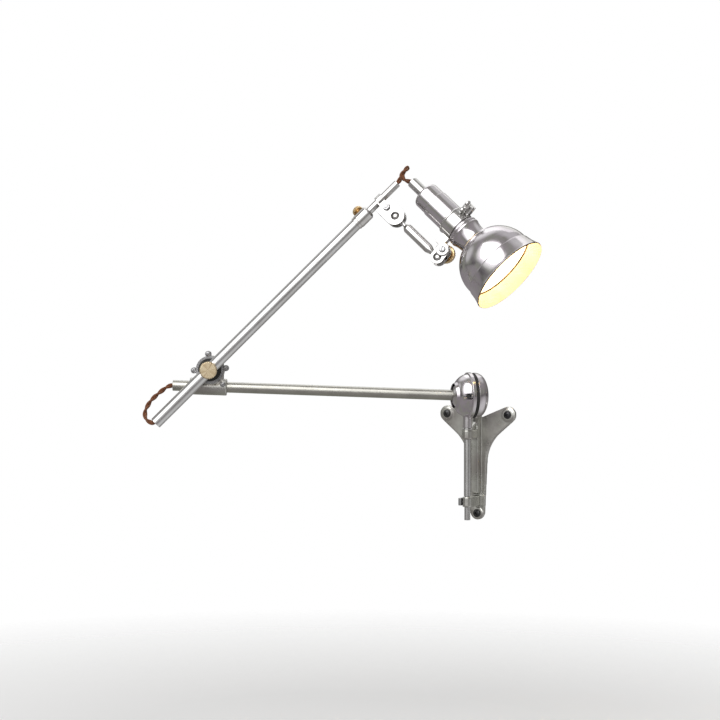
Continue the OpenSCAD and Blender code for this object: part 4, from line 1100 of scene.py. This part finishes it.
def build_studio():
    """A white backdrop to the camera, and a room with soft boxes and dark gaps to the metal."""
    world = bpy.data.worlds.new("studio")
    world.use_nodes = True
    bpy.context.scene.world = world
    tree = world.node_tree
    direction = node(tree, "ShaderNodeTexCoord").outputs["Generated"]
    height = node(tree, "ShaderNodeSeparateXYZ", {"Vector": direction}).outputs["Z"]
    ramp = node(tree, "ShaderNodeValToRGB", {"Fac": spread(tree, height, 0, 1, -1, 1)})
    elements = ramp.color_ramp.elements
    elements[0].position, elements[1].position = SKY[0][0], SKY[-1][0]
    for position, _ in SKY[1:-1]:
        elements.new(position)
    for element, (_, grey) in zip(elements, SKY):
        element.color = (grey * 1.03, grey * 0.97, grey, 1)
    room = blended(tree, spread(tree, noise(tree, direction, 2.2, 3), 0, 1, 0.45, 0.6),
                   ramp.outputs["Color"], (0.27, 0.28, 0.24))
    for right, up, inner, outer, light in SOFT_BOXES:
        heading, rise = math.radians(SWING + right), math.radians(up)
        aim = (math.sin(heading) * math.cos(rise), -math.cos(heading) * math.cos(rise),
               math.sin(rise))
        facing = node(tree, "ShaderNodeVectorMath", {0: direction, 1: aim}, operation="DOT_PRODUCT")
        edges = math.cos(math.radians(outer)), math.cos(math.radians(inner))
        room = blended(tree, spread(tree, facing.outputs["Value"], 0, 1, *edges), room, (light,) * 3)
    seen = node(tree, "ShaderNodeLightPath").outputs["Is Camera Ray"]
    feed(tree, tree.nodes["Background"], {"Color": blended(tree, seen, room, WHITE)})


def aim_at(obj, place, target):
    obj.location = place
    obj.rotation_euler = (Vector(target) - Vector(place)).to_track_quat("-Z", "Y").to_euler()


def build_lights():
    target = (-0.13, -0.12, 0.15)
    for name, place, power, size in (("key", (0.0, -1.9, 1.7), 24, 2.2),
                                     ("back", (-0.6, 1.4, 1.8), 5, 1.6)):
        data = bpy.data.lights.new(name, "AREA")
        data.energy, data.size, data.color = power, size, WHITE
        aim_at(scene_object(name, data), place, target)


def build_camera():
    swing = math.radians(SWING)
    right = Vector((math.cos(swing), math.sin(swing), 0))
    towards = Vector((math.sin(swing), -math.cos(swing), 0))
    up = Vector((0, 0, 1))
    target = SHOULDER.translation * MM - 0.1451 * right + 0.0482 * up
    tilt, distance = math.radians(1), 2.7
    data = bpy.data.cameras.new("camera")
    data.lens, data.sensor_width = 100, 36
    data.clip_start, data.clip_end = 0.05, 20
    camera = scene_object("camera", data)
    aim_at(camera, target + distance * (math.cos(tilt) * towards + math.sin(tilt) * up), target)
    bpy.context.scene.camera = camera


build_floor()
build_studio()
build_lights()
build_camera()
bpy.context.scene.view_settings.view_transform = "Standard"

bpy.context.view_layer.update()
